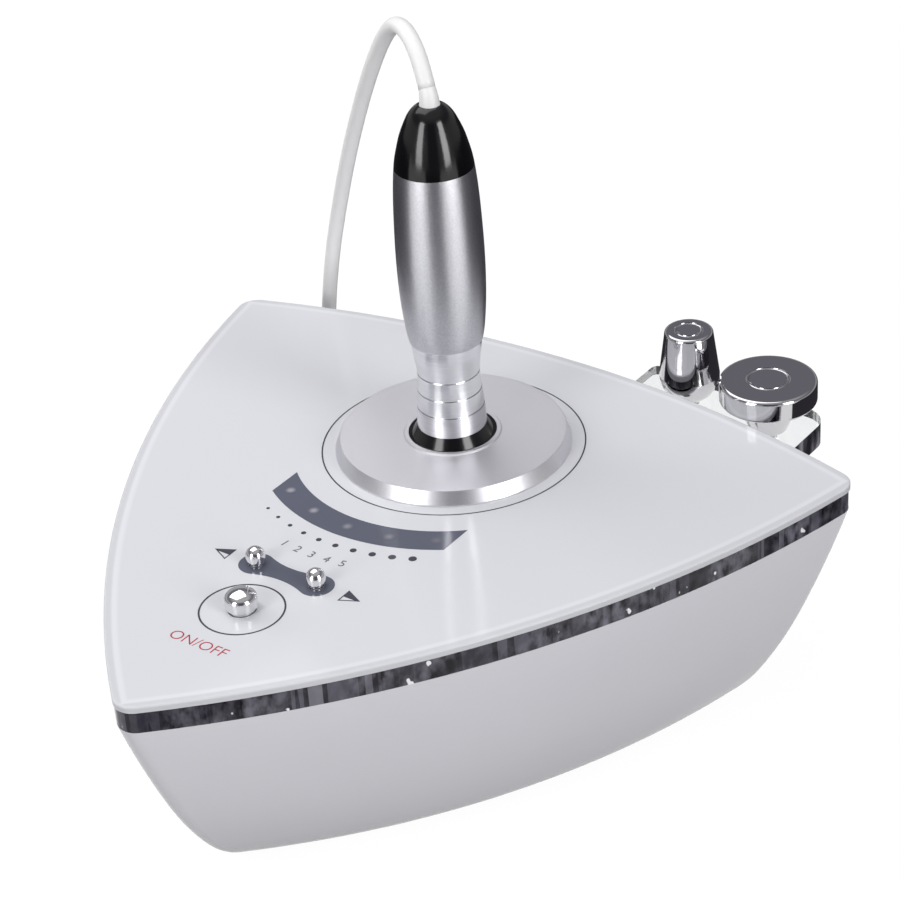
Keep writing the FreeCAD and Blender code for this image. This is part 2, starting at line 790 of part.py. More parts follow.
def make_neck():
    radii = [neck_end_radius * share for share in neck_radius_shares]
    heights = [z_neck + neck_length * share for share in neck_height_shares]
    neck = curved_turning(radii, heights, z_neck, z_barrel)
    neck = neck.fuse(cylinder(joint_radius, z_barrel, z_barrel + joint_spigot))
    cuts = [cylinder(neck_bore, z_neck - overrun, z_barrel + joint_spigot + overrun)]
    for radius, height in list(zip(radii, heights))[1:groove_count + 1]:
        low, high = height - groove_width / 2, height + groove_width / 2
        ring = cylinder(neck_end_radius, low, high)
        cuts.append(ring.cut(cylinder(radius - groove_depth, low, high)))
    return neck.cut(cuts).removeSplitter()


def make_barrel():
    radii = [barrel_radius * share for share in barrel_radius_shares]
    heights = [z_barrel + barrel_length * share for share in barrel_height_shares]
    barrel = curved_turning(radii, heights, z_barrel, z_cap)
    return barrel.cut(cylinder(joint_radius + fixed_gap, z_barrel - overrun, z_cap + overrun))


def make_tail_cap():
    radii = [cap_radius * share for share in cap_radius_shares]
    heights = [z_cap + cap_length * share for share in cap_height_shares]
    cap = curved_turning(radii, heights, z_cap, z_boot)
    cap = cap.fuse(cylinder(joint_radius, z_cap - joint_spigot, z_cap))
    inside = joint_radius - cap_wall
    cap = cap.cut([cylinder(inside, z_cap - joint_spigot - overrun, z_boot - boot_tail),
                   cylinder(boot_base_radius + fixed_gap, z_cap, z_boot + overrun)])
    return cap.removeSplitter()


def make_collar():
    """Insulating collar: flare on the bush, spigot in its bore, tenon in the neck, hole for the stud."""
    bore = stud_radius + fixed_gap
    low = z_flange - collar_spigot
    tenon = neck_bore - fixed_gap
    return turned([(bore, low), (collar_spigot_radius, low), (collar_spigot_radius, z_flange),
                   (collar_flare_radius, z_flange), (neck_end_radius, z_neck), (tenon, z_neck),
                   (tenon, z_neck + collar_tenon), (bore, z_neck + collar_tenon)])


def make_head_stud():
    seat = z_neck + collar_tenon
    stud = cylinder(stud_radius, z_flange - collar_spigot - stud_showing, seat)
    return stud.fuse(cylinder(stud_head_radius, seat, seat + stud_head_height)).removeSplitter()


def make_face_head():
    """Head on the handpiece, hidden in the bush: a thick disc with a domed working face."""
    top = z_flange - collar_spigot
    bottom = top - face_height
    edge = V(face_radius, 0, bottom + face_dome)
    rise = (face_radius ** 2 + face_dome ** 2) / (2 * face_dome)
    middle = V(face_radius / 2, 0, bottom + rise - math.sqrt(rise ** 2 - (face_radius / 2) ** 2))
    side = lines([(face_radius, edge.z), (face_radius, top), (0, top), (0, bottom)])
    head = turned_wire(Part.Wire([Part.Arc(V(0, 0, bottom), middle, edge).toShape()] + side))
    return head.cut(cylinder(stud_radius + thread_gap, top - stud_showing - moving_gap, top + overrun))


def make_handpiece_lead():
    """Insulated wire from the stud to the cord."""
    return cylinder(lead_radius, z_neck + collar_tenon + stud_head_height, z_boot - boot_tail)


def boot_ring(share):
    """Centre, direction and radius of the bent boot, a share of the way along it."""
    bend = boot_length / math.radians(boot_lean)
    lean = math.radians(boot_lean) * share
    aside = V(math.cos(math.radians(cord_heading)), math.sin(math.radians(cord_heading)), 0)
    centre = V(0, 0, z_boot) + aside * (bend * (1 - math.cos(lean))) + UP * (bend * math.sin(lean))
    way = aside * math.sin(lean) + UP * math.cos(lean)
    return centre, way, boot_base_radius + (cord_radius - boot_base_radius) * share


def make_cord_boot():
    rings = []
    for centre, way, radius in map(boot_ring, boot_shares):
        rings.append(Part.Wire([Part.makeCircle(radius, centre, way)]))
    bent = Part.makeLoft(rings, True)
    return cylinder(boot_base_radius, z_boot - boot_tail, z_boot).fuse(bent).removeSplitter()


def rounded_path(points):
    """Straight runs joined by tangent arcs, and the radius of each arc."""
    edges, radii, start = [], [], points[0]
    for before, corner, after in zip(points, points[1:], points[2:]):
        first, second = before - corner, after - corner
        half_turn = (math.pi - first.getAngle(second)) / 2
        reach = arc_share * min(first.Length, second.Length)
        radius = reach / math.tan(half_turn)
        enter = corner + V(first).normalize() * reach
        leave = corner + V(second).normalize() * reach
        inward = (V(first).normalize() + V(second).normalize()).normalize()
        middle = corner + inward * (radius / math.cos(half_turn) - radius)
        edges += [Part.makeLine(start, enter), Part.Arc(enter, middle, leave).toShape()]
        radii.append(radius)
        start = leave
    edges.append(Part.makeLine(start, points[-1]))
    return Part.Wire(edges), radii


def swept(path):
    """Round cord along a path."""
    start = path.Edges[0].firstVertex(True).Point
    direction = path.Edges[0].tangentAt(path.Edges[0].FirstParameter)
    ring = Part.Wire([Part.makeCircle(cord_radius, start, direction)])
    return path.makePipeShell([ring], True, False)


def cord_tube(name, points):
    path, radii = rounded_path(points)
    tube = swept(path)
    ratio = tube.Volume / (math.pi * cord_radius ** 2 * path.Length)
    print(name, "length %.1f, volume over section times length %.4f" % (path.Length, ratio))
    print(name, "radii", " ".join("%.1f" % radius for radius in radii))
    return tube


def coil_point(turn):
    """Place on the coil's line: it spirals in on the floor, climbs in a half turn, and spirals out again."""
    climb_end = coil_turns + 1 / 2
    reversal = (coil_turns + climb_end) / 2
    depth = turn if turn <= reversal else 2 * reversal - turn
    radius = coil_outer_radius - coil_pitch * depth
    climb = min(max((turn - coil_turns) / (climb_end - coil_turns), 0), 1)
    z = coil_z + coil_pitch * climb * climb * (3 - 2 * climb)
    angle = 2 * math.pi * turn - math.pi / 2
    return V(coil_x + radius * math.cos(angle), coil_y + radius * math.sin(angle), z)


def coil_direction(turn):
    return (coil_point(turn + turn_share) - coil_point(turn - turn_share)).normalize()


def biarc(start, start_way, end, end_way):
    """Two arcs that leave one point in one direction and reach another point in another direction."""
    across = end - start
    both = start_way + end_way
    spread = 2 * (1 - start_way.dot(end_way))
    slope = across.dot(both)
    reach = (-slope + math.sqrt(slope ** 2 + spread * across.Length ** 2)) / spread
    middle = (start + end + (start_way - end_way) * reach) / 2
    arcs = []
    for tip, way, far in ((start, start_way, middle), (end, end_way * -1, middle)):
        corner = tip + way * reach
        bisector = ((tip - corner).normalize() + (far - corner).normalize()).normalize()
        half_turn = (math.pi - (tip - corner).getAngle(far - corner)) / 2
        radius = reach / math.tan(half_turn)
        arcs.append((tip, corner + bisector * (radius / math.cos(half_turn) - radius), far))
    first, second = arcs
    return [Part.Arc(*first).toShape(), Part.Arc(second[2], second[1], second[0]).toShape()]


def coil_ends():
    """Where the coil's straight ends stop."""
    return [coil_point(turn) - V(cord_diameter, 0, 0) for turn in (0, whole_turns)]


def coil_path():
    start, end = coil_ends()
    quarters = round(4 * whole_turns)
    ways = [coil_direction(i / 4) for i in range(quarters + 1)]
    ways[0], ways[-1] = V(1, 0, 0), V(-1, 0, 0)
    edges = [Part.makeLine(start, coil_point(0))]
    for i in range(quarters):
        edges += biarc(coil_point(i / 4), ways[i], coil_point((i + 1) / 4), ways[i + 1])
    edges.append(Part.makeLine(coil_point(whole_turns), end))
    return Part.Wire(edges)


def make_cord_coil():
    path = coil_path()
    coil = swept(path)
    points = path.discretize(Distance=cord_radius)
    skip = math.ceil(math.pi * cord_diameter / cord_radius)
    gap = min((a - b).Length for i, a in enumerate(points) for b in points[i + skip:]) - cord_diameter
    ratio = coil.Volume / (math.pi * cord_radius ** 2 * path.Length)
    print("cord_coil length %.1f, volume over section times length %.4f" % (path.Length, ratio))
    print("cord_coil least gap to itself %.2f" % gap)
    return coil


def make_cord_tie():
    """Flat band round the two turns of each layer, on the coil's left."""
    half = tie_width / 2
    inmost = coil_outer_radius - coil_pitch * (coil_turns - 1 / 4)
    near = math.sqrt(inmost ** 2 - half ** 2) - cord_radius - tie_gap
    far = coil_outer_radius - coil_pitch * (3 / 4) + cord_radius + tie_gap
    low = V(coil_x - far, coil_y - half, coil_z - cord_radius - tie_gap)
    high = V(coil_x - near, coil_y + half, coil_z + coil_pitch + cord_radius + tie_gap)
    wall = V(tie_wall, 0, tie_wall)
    return box(low - wall, high + wall).cut(box(low, high))


plug_start = jack_face + jack_flange_thickness
plug_end = plug_start + jack_nose + plug_length
cord_exit = V(jack_x, plug_end + plug_boot_length, jack_z)


def make_cord_plug():
    """Plug: a nose in the socket, a ring over the socket's thread, and a round grip."""
    nose_end = plug_start + jack_nose
    ring = back_cylinder(plug_ring_radius, plug_start, nose_end, jack_x, jack_z)
    ring = ring.cut(back_cylinder(jack_barrel_radius + fixed_gap, plug_start, nose_end, jack_x, jack_z))
    grip = back_cylinder(plug_radius, nose_end, plug_end, jack_x, jack_z)
    nose = back_cylinder(jack_bore - fixed_gap, nose_end - plug_nose, nose_end, jack_x, jack_z)
    return ring.fuse([grip, nose]).removeSplitter()


def make_plug_boot():
    return Part.makeCone(plug_boot_radius, cord_radius, plug_boot_length, V(jack_x, plug_end, jack_z), BACK)


coil_start, coil_end = coil_ends()
boot_tip, boot_way, _ = boot_ring(1)
# The cord's line from the handpiece's boot, over and down behind the base, to the coil
lead_route = [boot_tip, boot_tip + boot_way * first_run, V(-10.3, 6.7, 225.9), V(-17.2, 11.2, 227.6),
              V(-25.2, 16.3, 224.6), V(-35.6, 23.1, 214.0), V(-47.8, 31.0, 197.5), V(-60.4, 39.2, 178.0),
              V(-73.0, 47.4, 156.5), V(-86.4, 56.1, 130.5), V(-99.0, 64.3, 103.5), V(-109.4, 71.5, 75.0),
              V(-115.3, 76.0, 50.0), V(-116.0, 79.0, 31.0), V(-109.5, 80.0, 14.5), V(-96.0, 78.5, 4.5),
              V(-78.0, 74.5, 3.0), V(-60.0, 69.0, 3.2), V(-42.5, coil_start.y, coil_start.z), coil_start]
# The cord's line from the coil to the plug
tail_route = [coil_end, V(-41.5, coil_end.y, coil_end.z), V(-57.5, 132.5, 13.0), V(-69.0, 123.5, 18.5),
              V(cord_exit.x, 110.5, cord_exit.z), cord_exit]


def make_parts():
    parts = {
        "lower_shell": make_lower_shell(),
        "trim_band": make_trim_band(),
        "deck": make_deck(),
        "top_panel": make_top_panel(),
        "dish": make_dish(),
        "holder_bush": make_holder_bush(),
        "bush_nut": make_bush_nut(),
        "control_board": make_control_board(),
        "level_lights": make_level_lights(),
        "case_screws": make_case_screws(),
        "board_screws": make_board_screws(),
        "main_screws": make_main_screws(),
        "stand_screws": make_stand_screws(),
        "main_board": make_main_board(),
        "transformer_core": make_transformer_core(),
        "transformer_winding": make_transformer_winding(),
        "heat_sink": make_heat_sink(),
        "power_chip": make_power_chip(),
        "capacitors": make_capacitors(),
        "ribbon_cable": make_ribbon_cable(),
        "output_jack": make_output_jack(),
        "jack_nut": socket_nut(jack_x, jack_z, jack_face, jack_barrel_radius, jack_flange_radius),
        "power_inlet": make_power_inlet(),
        "inlet_pin": make_inlet_pin(),
        "inlet_nut": socket_nut(inlet_x, inlet_z, inlet_face, inlet_radius, inlet_flange_radius),
        "tip_stand": make_tip_stand(),
        "eye_head": make_eye_head(),
        "body_head": make_body_head(),
        "neck": make_neck(),
        "barrel": make_barrel(),
        "tail_cap": make_tail_cap(),
        "collar": make_collar(),
        "head_stud": make_head_stud(),
        "face_head": make_face_head(),
        "handpiece_lead": make_handpiece_lead(),
        "cord_boot": make_cord_boot(),
        "cord_lead": cord_tube("cord_lead", lead_route),
        "cord_coil": make_cord_coil(),
        "cord_tail": cord_tube("cord_tail", tail_route),
        "cord_tie": make_cord_tie(),
        "cord_plug": make_cord_plug(),
        "plug_boot": make_plug_boot(),
    }
    for name in foot_spots:
        parts[name] = make_foot(name)
    for name in button_spots():
        parts[name + "_button"] = make_button(name)
        parts[name + "_plunger"] = make_plunger(name)
        parts[name + "_switch"] = make_switch(name)
    return parts


def footprint_shift():
    """Move along Y that puts the origin in the middle of the footprint, cord left out."""
    front = slab(0, z_panel, z_top).BoundBox.YMin
    rear = max(stand_rear_y, eye_y + eye_radius, body_y + body_radius)
    return V(0, -(front + rear) / 2, 0)


os.makedirs("parts", exist_ok=True)
shift = footprint_shift()
for node, shape in make_parts().items():
    shape.translate(shift)
    if not shape.isValid():
        print(node, "is not a valid shape")
    shape.exportStep("parts/" + node + ".step")
print("moved by %.3f along Y, jack face %.2f, inlet face %.2f" % (shift.y, jack_face, inlet_face))
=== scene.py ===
"""Looks of the facial device around its fixed frame: camera, light, cord, finishes and printed details.

Metres, in the frame's own axes: +X to the user's right, +Y to the back, the floor at z = 0.
Places on the panel are measured from the upright axis of the dish.
"""
import json
import math

import bmesh
import bpy
from mathutils import Euler, Matrix, Vector

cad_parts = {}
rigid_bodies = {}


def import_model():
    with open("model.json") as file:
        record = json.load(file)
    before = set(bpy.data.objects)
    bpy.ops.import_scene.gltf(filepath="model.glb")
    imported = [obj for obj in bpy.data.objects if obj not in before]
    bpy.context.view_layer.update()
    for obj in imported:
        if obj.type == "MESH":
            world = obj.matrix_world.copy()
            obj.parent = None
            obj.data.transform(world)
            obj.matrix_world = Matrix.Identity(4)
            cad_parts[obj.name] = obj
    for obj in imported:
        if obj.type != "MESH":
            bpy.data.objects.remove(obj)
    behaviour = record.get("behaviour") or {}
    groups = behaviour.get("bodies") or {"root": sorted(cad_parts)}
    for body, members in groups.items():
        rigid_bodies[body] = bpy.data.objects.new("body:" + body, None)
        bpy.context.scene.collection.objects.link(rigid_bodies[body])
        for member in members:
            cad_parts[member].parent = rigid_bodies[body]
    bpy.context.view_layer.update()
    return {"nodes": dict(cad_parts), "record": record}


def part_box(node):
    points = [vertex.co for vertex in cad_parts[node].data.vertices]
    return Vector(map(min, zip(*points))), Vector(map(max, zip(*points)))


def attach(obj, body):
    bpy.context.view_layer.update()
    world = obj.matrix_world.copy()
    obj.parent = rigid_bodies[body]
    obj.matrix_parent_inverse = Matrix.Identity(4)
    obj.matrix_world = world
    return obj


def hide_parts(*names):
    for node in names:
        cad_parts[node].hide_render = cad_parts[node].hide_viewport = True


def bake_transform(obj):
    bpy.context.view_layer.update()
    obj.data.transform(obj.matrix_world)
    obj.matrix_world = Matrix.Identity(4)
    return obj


for leftover in list(bpy.data.objects):
    bpy.data.objects.remove(leftover)
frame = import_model()

# Places read from the frame
DISH_LOW, DISH_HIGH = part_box("dish")
AXIS = Vector(((DISH_LOW.x + DISH_HIGH.x) / 2, (DISH_LOW.y + DISH_HIGH.y) / 2, 0))
PANEL_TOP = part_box("top_panel")[1].z
DISH_RADIUS = (DISH_HIGH.x - DISH_LOW.x) / 2
TIE_LOW, TIE_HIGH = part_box("cord_tie")


def middle_of(node):
    """Place of a node's middle on the panel, from the dish's axis."""
    low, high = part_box(node)
    return (low.x + high.x) / 2 - AXIS.x, (low.y + high.y) / 2 - AXIS.y


def linear(red, green, blue):
    """Linear colour of an 8-bit screen colour."""
    shares = [value / 255 for value in (red, green, blue)]
    return tuple(s / 12.92 if s <= 0.04045 else ((s + 0.055) / 1.055) ** 2.4 for s in shares)


def grey(level):
    return level, level, level


POWER_PLACE = middle_of("power_button")
DOWN_PLACE = middle_of("down_button")
UP_PLACE = middle_of("up_button")

# Camera, fitted to the photo's 900 pixel square frame
IMAGE_SIDE = 900
FOCAL_PIXELS = 2669.5
MIDDLE_PIXEL = (447.48, 452.88)
SENSOR = 36.0
CAMERA_AZIMUTH = math.radians(37.73)
CAMERA_ELEVATION = math.radians(31.54)
CAMERA_ROLL = math.radians(-4.17)
CAMERA_DISTANCE = 0.8854
CAMERA_AIM = Vector((0.00182, -0.00615, PANEL_TOP))

# Stage: floor, dark flags that only gloss shows, surroundings by height, and soft lamps
FLOOR_HALF = 6.0
FLOOR_DROP = 0.0002
FLOOR_COLOUR = grey(0.06)
FLOOR_GLOW = 0.96
# Name, first and last azimuth from the camera's in degrees, distance from the axis, level
FLAGS = [("flag_back", 66, 284, 0.2, 0.035), ("flag_front", -26, 15, 0.24, 0.06)]
FLAG_STEPS = 16
# Dark end of the room behind the camera: half its width in degrees, distance, height, level
ROOM_END = (17, 2.0, 1.7, 0.1)
DARK_TINT = (1, 0.94, 1.14)    # of the dark surroundings that polished surfaces show
SKY_DARK = (0.19, 0.183, 0.21)
# Height of a direction, as its upward share, and the colour of the surroundings there
SKY = [(0.0, grey(0.3)), (0.1, grey(0.42)), (0.3, grey(0.42)), (0.42, SKY_DARK), (0.62, SKY_DARK),
       (0.85, grey(0.45))]
# Name, azimuth from the camera's and elevation in degrees, distance, width, height, watts
LAMPS = [("lamp_left", -45, 21, 2.2, 0.76, 1.52, 22.6), ("lamp_right", 42, 21, 2.2, 0.76, 1.52, 26.4),
         ("lamp_top", 215, 65, 1.4, 1.25, 1.25, 8.7), ("lamp_rear", -125, 22, 1.4, 1.0, 0.8, 8)]
HIDDEN_FROM_GLOSS = ("lamp_rear", "lamp_bounce")
# Light from the floor in front: azimuth from the camera's, distance of its near edge from the axis
BOUNCE_AZIMUTH = math.radians(20)
BOUNCE_START = 0.31
BOUNCE_SIZE = (1.8, 0.9)
BOUNCE_WATTS = 2

# Cord of the handpiece
CORD_DIAMETER = 0.0054
CORD_SIDES = 20
SPLINE_STEPS = 8
# From the boot on the cap, over and down behind the base
LEAD_ROUTE = [(-0.00107, 0.00070, 0.21387), (-0.00443, 0.00288, 0.2208), (-0.0103, 0.0067, 0.2259),
              (-0.0172, 0.0112, 0.2276), (-0.0252, 0.0163, 0.2246), (-0.0356, 0.0231, 0.214),
              (-0.0478, 0.031, 0.1975), (-0.0604, 0.0392, 0.178), (-0.073, 0.0474, 0.1565),
              (-0.0864, 0.0561, 0.1305), (-0.099, 0.0643, 0.1035), (-0.1094, 0.0715, 0.075),
              (-0.1153, 0.076, 0.05), (-0.116, 0.079, 0.031), (-0.1095, 0.08, 0.0145),
              (-0.096, 0.0785, 0.0045), (-0.078, 0.0745, 0.003), (-0.06, 0.069, 0.0032),
              (-0.0425, 0.065, 0.0037), (-0.0254, 0.065, 0.0037)]
# From the coil to the plug
TAIL_ROUTE = [(-0.0254, 0.137, 0.0097), (-0.0415, 0.137, 0.0097), (-0.0575, 0.1325, 0.013),
              (-0.069, 0.1235, 0.0185), (-0.075, 0.1105, 0.022), (-0.075, 0.09407, 0.022)]
COIL_CENTRE = (-0.02, 0.101)
COIL_RADIUS = 0.036
COIL_PITCH = 0.006
COIL_FLOOR = 0.0037
COIL_LAYER_TURNS = 2
COIL_TURNS = 4.5
COIL_STEPS = 16           # points in a turn
TIE_THICKNESS = 0.0008
TIE_ROUND = 0.003         # of its corners, at the middle of the band
TIE_EDGE = 0.00025        # chamfer of its edges
TIE_STEPS = 8             # steps round a corner

# Outline of the panel
PANEL_CORNERS = [(0, -0.1706), (0.1268, 0.0457), (-0.1268, 0.0457)]
SIDE_BULGE = 0.02065
LIP_WIDTH = 0.0048        # clear edge round the printed field

# Prints on the panel
PRINT_THICKNESS = 0.00005
MERGE_DISTANCE = 0.0000005
CIRCLE_STEPS = 96
DOT_STEPS = 24
DISH_RING_RADIUS = 0.044
DISH_RING_WIDTH = 0.0005
POWER_RING_RADIUS = 0.0133
POWER_RING_WIDTH = 0.0006
WINDOW_INNER = 0.0535
WINDOW_OUTER = 0.064
WINDOW_HALF_WIDTH = 0.0345
SPOT_CIRCLE = 0.0586
SPOT_RADIUS = 0.0022
SPOT_STEP = 15
SPOT_COUNT = 5
DOT_CIRCLE = 0.0693
DOT_STEP = 5.5
DOT_COUNT = 10
DOT_SMALLEST = 0.0006
DOT_LARGEST = 0.00135
NUMBER_CIRCLE = 0.0772
NUMBER_STEP = 4.3
NUMBER_SIZE = 0.0046
PATCH_LOBE = 0.0057
PATCH_WAIST = 0.0034      # half its height between the lobes
PATCH_HOLE = 0.0025
ARROW_BASE = 0.0224
ARROW_TIP = 0.0289
ARROW_HALF_HEIGHT = 0.0031
ARROW_LINE = 0.0004
WORDS_PLACE = (0, -0.1325)
WORDS_WIDTH = 0.0214
WORD_THINNING = 0.012     # share of the letters' size

# Finishes. Grains are in 1/m, and stops are a texture's value and the colour or level there.
MOTTLE_GRAIN = 25
MOTTLE_RANGE = (0.35, 0.65)     # values of the noise that a colour wanders over
WEAR_RANGE = (0.3, 0.7)         # values of the noise that a roughness wanders over
WIPE_GRAIN = 400
WIPE_SHARES = (0.8, 1.3)        # of a plating's roughness
SATIN_SHADE = 0.88
SMOKE = linear(95, 98, 112)
# Painted glow of the lamps behind the level window
SPOT_PAINTED_GLOW_LEVELS = (156, 152, 136, 124, 112)
SPOT_PAINTED_GLOW_BLUE = 8                   # of a spot above its other levels
SPOT_PAINTED_GLOW_FADE = (0.1, 0.95)         # shares of a spot's radius
PANEL_FIELD = linear(211, 212, 216)
PANEL_LIGHT = linear(219, 220, 224)
PANEL_DARK = linear(204, 205, 209)
PANEL_STOPS = [(0.42, PANEL_DARK), (0.6, PANEL_LIGHT), (0.78, PANEL_LIGHT), (1, PANEL_FIELD)]
# Painted reflections on the trim band: colours of upright stripes and cloudy patches, their mix, and painted
# white glint marks
TRIM_PAINTED_REFLECTION_BARS = [(0, linear(20, 18, 24)), (0.41, linear(56, 54, 63)), (0.47, linear(26, 24, 30)),
             (0.53, linear(86, 84, 95)), (0.59, linear(38, 36, 44)), (0.65, linear(120, 118, 128))]
TRIM_PAINTED_REFLECTION_CLOUDS = [(0.36, linear(12, 11, 16)), (0.66, linear(124, 122, 133))]
TRIM_PAINTED_CLOUD_WEIGHT = [(0.4, grey(0.15)), (0.6, grey(0.75))]
TRIM_PAINTED_GLINT_LINES = [(0.625, grey(0)), (0.63, grey(1)), (0.642, grey(1)), (0.647, grey(0))]
TRIM_PAINTED_GLINT_SPOTS = [(0.7, grey(0)), (0.73, grey(1))]
TRIM_PAINTED_GLINT_COLOURS = [(0, linear(228, 228, 231)), (1, linear(240, 240, 242))]
DISH_ROUGHNESS = 0.5
BEVEL_ROUGHNESS = 0.34
BEVEL_START = (0.945, 0.955)    # shares of the dish's radius
BARREL_ANISOTROPY = 0.5
BARREL_GRAIN_TURN = 0.25        # a quarter turn: its grain runs round the axis
STAND_CLEAR = [(0.3, grey(0.3)), (0.6, grey(1))]
# Painted reflection and shade on the plate's sides: dark to pale streak colours
STAND_PAINTED_EDGE_STREAKS = [(0.4, linear(44, 43, 50)), (0.52, linear(96, 95, 104)), (0.66, linear(182, 182, 188))]
STAND_FACES = [(0.3, (0.965, 0.975, 0.98)), (0.7, (0.975, 0.985, 0.99))]
MIX_COLOURS, MIX_RESULT = (6, 7), 2    # colour sockets of the mixing node


def on_panel(x, y, z):
    """Point of the frame from a place on the panel and a height."""
    return Vector((AXIS.x + x, AXIS.y + y, z))


def add_object(name, data, body="root", at=None):
    made = bpy.data.objects.new(name, data)
    if at:
        made.matrix_world = at
    bpy.context.scene.collection.objects.link(made)
    if body:
        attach(made, body)
    return made


# Camera

def camera_axes():
    """Right, up and back directions of the camera."""
    az, el = CAMERA_AZIMUTH, CAMERA_ELEVATION
    back = Vector((math.sin(az) * math.cos(el), -math.cos(az) * math.cos(el), math.sin(el)))
    right = Vector((math.cos(az), math.sin(az), 0))
    up = back.cross(right)
    turned_right = right * math.cos(CAMERA_ROLL) + up * math.sin(CAMERA_ROLL)
    turned_up = up * math.cos(CAMERA_ROLL) - right * math.sin(CAMERA_ROLL)
    return turned_right, turned_up, back


def make_camera():
    data = bpy.data.cameras.new("camera")
    data.sensor_width = SENSOR
    data.lens = FOCAL_PIXELS / IMAGE_SIDE * SENSOR
    data.shift_x = 0.5 - MIDDLE_PIXEL[0] / IMAGE_SIDE
    data.shift_y = MIDDLE_PIXEL[1] / IMAGE_SIDE - 0.5
    right, up, back = camera_axes()
    eye = AXIS + CAMERA_AIM + back * CAMERA_DISTANCE
    made = bpy.data.objects.new("camera", data)
    made.matrix_world = Matrix((right, up, back)).transposed().to_4x4()
    made.location = eye
    bpy.context.scene.collection.objects.link(made)
    bpy.context.scene.camera = made


make_camera()


# Materials: each is a shader with its own values, and texture nodes where the surface varies

def new_material(name, colour, roughness, metallic=0.0, **sockets):
    """Material with constant shader values. Socket names are given in small letters with _ for a space."""
    made = bpy.data.materials.new(name)
    made.use_nodes = True
    shader = made.node_tree.nodes["Principled BSDF"]
    shader.inputs["Base Color"].default_value = (*colour, 1)
    shader.inputs["Roughness"].default_value = roughness
    shader.inputs["Metallic"].default_value = metallic
    known = {socket.name.lower().replace(" ", "_"): socket for socket in shader.inputs}
    for key, value in sockets.items():
        known[key].default_value = value
    return made


def shader_of(made):
    return made.node_tree.nodes["Principled BSDF"]


def add_node(made, kind, **values):
    node = made.node_tree.nodes.new(kind)
    for key, value in values.items():
        setattr(node, key, value)
    return node


def link(made, output, target):
    made.node_tree.links.new(output, target)


def noise(made, scale, detail=2.0, stretch=(1, 1, 1)):
    """Noise value in object space, whose grain is 1/scale metres."""
    coords = add_node(made, "ShaderNodeTexCoord")
    mapping = add_node(made, "ShaderNodeMapping")
    mapping.inputs["Scale"].default_value = stretch
    texture = add_node(made, "ShaderNodeTexNoise")
    texture.inputs["Scale"].default_value = scale
    texture.inputs["Detail"].default_value = detail
    link(made, coords.outputs["Object"], mapping.inputs["Vector"])
    link(made, mapping.outputs["Vector"], texture.inputs["Vector"])
    return texture.outputs["Fac"]


def ramp(made, value, stops, blend="LINEAR"):
    """Colour ramp through (place, colour) stops."""
    node = add_node(made, "ShaderNodeValToRGB")
    node.color_ramp.interpolation = blend
    while len(node.color_ramp.elements) < len(stops):
        node.color_ramp.elements.new(0.5)
    for element, (place, colour) in zip(node.color_ramp.elements, stops):
        element.position = place
        element.color = (*colour, 1)
    link(made, value, node.inputs["Fac"])
    return node.outputs["Color"]


def vary_colour(made, scale, low, high, stretch=(1, 1, 1)):
    """Base colour that wanders between two colours."""
    value = noise(made, scale, stretch=stretch)
    colour = ramp(made, value, list(zip(MOTTLE_RANGE, (low, high))))
    link(made, colour, shader_of(made).inputs["Base Color"])


def vary_roughness(made, scale, low, high):
    value = noise(made, scale)
    mapped = add_node(made, "ShaderNodeMapRange")
    mapped.inputs["From Min"].default_value, mapped.inputs["From Max"].default_value = WEAR_RANGE
    mapped.inputs["To Min"].default_value = low
    mapped.inputs["To Max"].default_value = high
    link(made, value, mapped.inputs["Value"])
    link(made, mapped.outputs["Result"], shader_of(made).inputs["Roughness"])


def add_bump(made, value, distance):
    bump = add_node(made, "ShaderNodeBump")
    bump.inputs["Distance"].default_value = distance
    bump.inputs["Strength"].default_value = 1
    link(made, value, bump.inputs["Height"])
    link(made, bump.outputs["Normal"], shader_of(made).inputs["Normal"])


def moulded(name, colour, roughness, grain=1500, depth=0.000004, shade=0.94, **sockets):
    """Moulded plastic: a fine skin, and a colour that is a little uneven."""
    made = new_material(name, colour, roughness, **sockets)
    darker = tuple(value * shade for value in colour)
    vary_colour(made, MOTTLE_GRAIN, darker, colour)
    add_bump(made, noise(made, grain), depth)
    return made


def plated(name, colour, roughness, **sockets):
    """Polished plating with faint wiping marks."""
    made = new_material(name, colour, roughness, metallic=1.0, **sockets)
    vary_roughness(made, WIPE_GRAIN, *(roughness * share for share in WIPE_SHARES))
    return made


def satin(name, colour, roughness, grain=5000, depth=0.000006, stretch=(1, 1, 1)):
    """Blasted or turned aluminium: fine grain in its normal and its colour."""
    made = new_material(name, colour, roughness, metallic=1.0)
    darker = tuple(value * SATIN_SHADE for value in colour)
    vary_colour(made, grain, darker, colour, stretch)
    add_bump(made, noise(made, grain, stretch=stretch), depth)
    return made


def printed(name, colour):
    """Ink under the panel's gloss."""
    return moulded(name, colour, roughness=0.08, grain=4000, depth=0.0000003, shade=0.95)


def flat_place(made):
    """Object coordinates with no height."""
    coords = add_node(made, "ShaderNodeTexCoord")
    flat = add_node(made, "ShaderNodeVectorMath", operation="MULTIPLY")
    flat.inputs[1].default_value = (1, 1, 0)
    link(made, coords.outputs["Object"], flat.inputs[0])
    return flat.outputs["Vector"]


def distance_from(made, place, point):
    away = add_node(made, "ShaderNodeVectorMath", operation="DISTANCE")
    away.inputs[1].default_value = point
    link(made, place, away.inputs[0])
    return away.outputs["Value"]


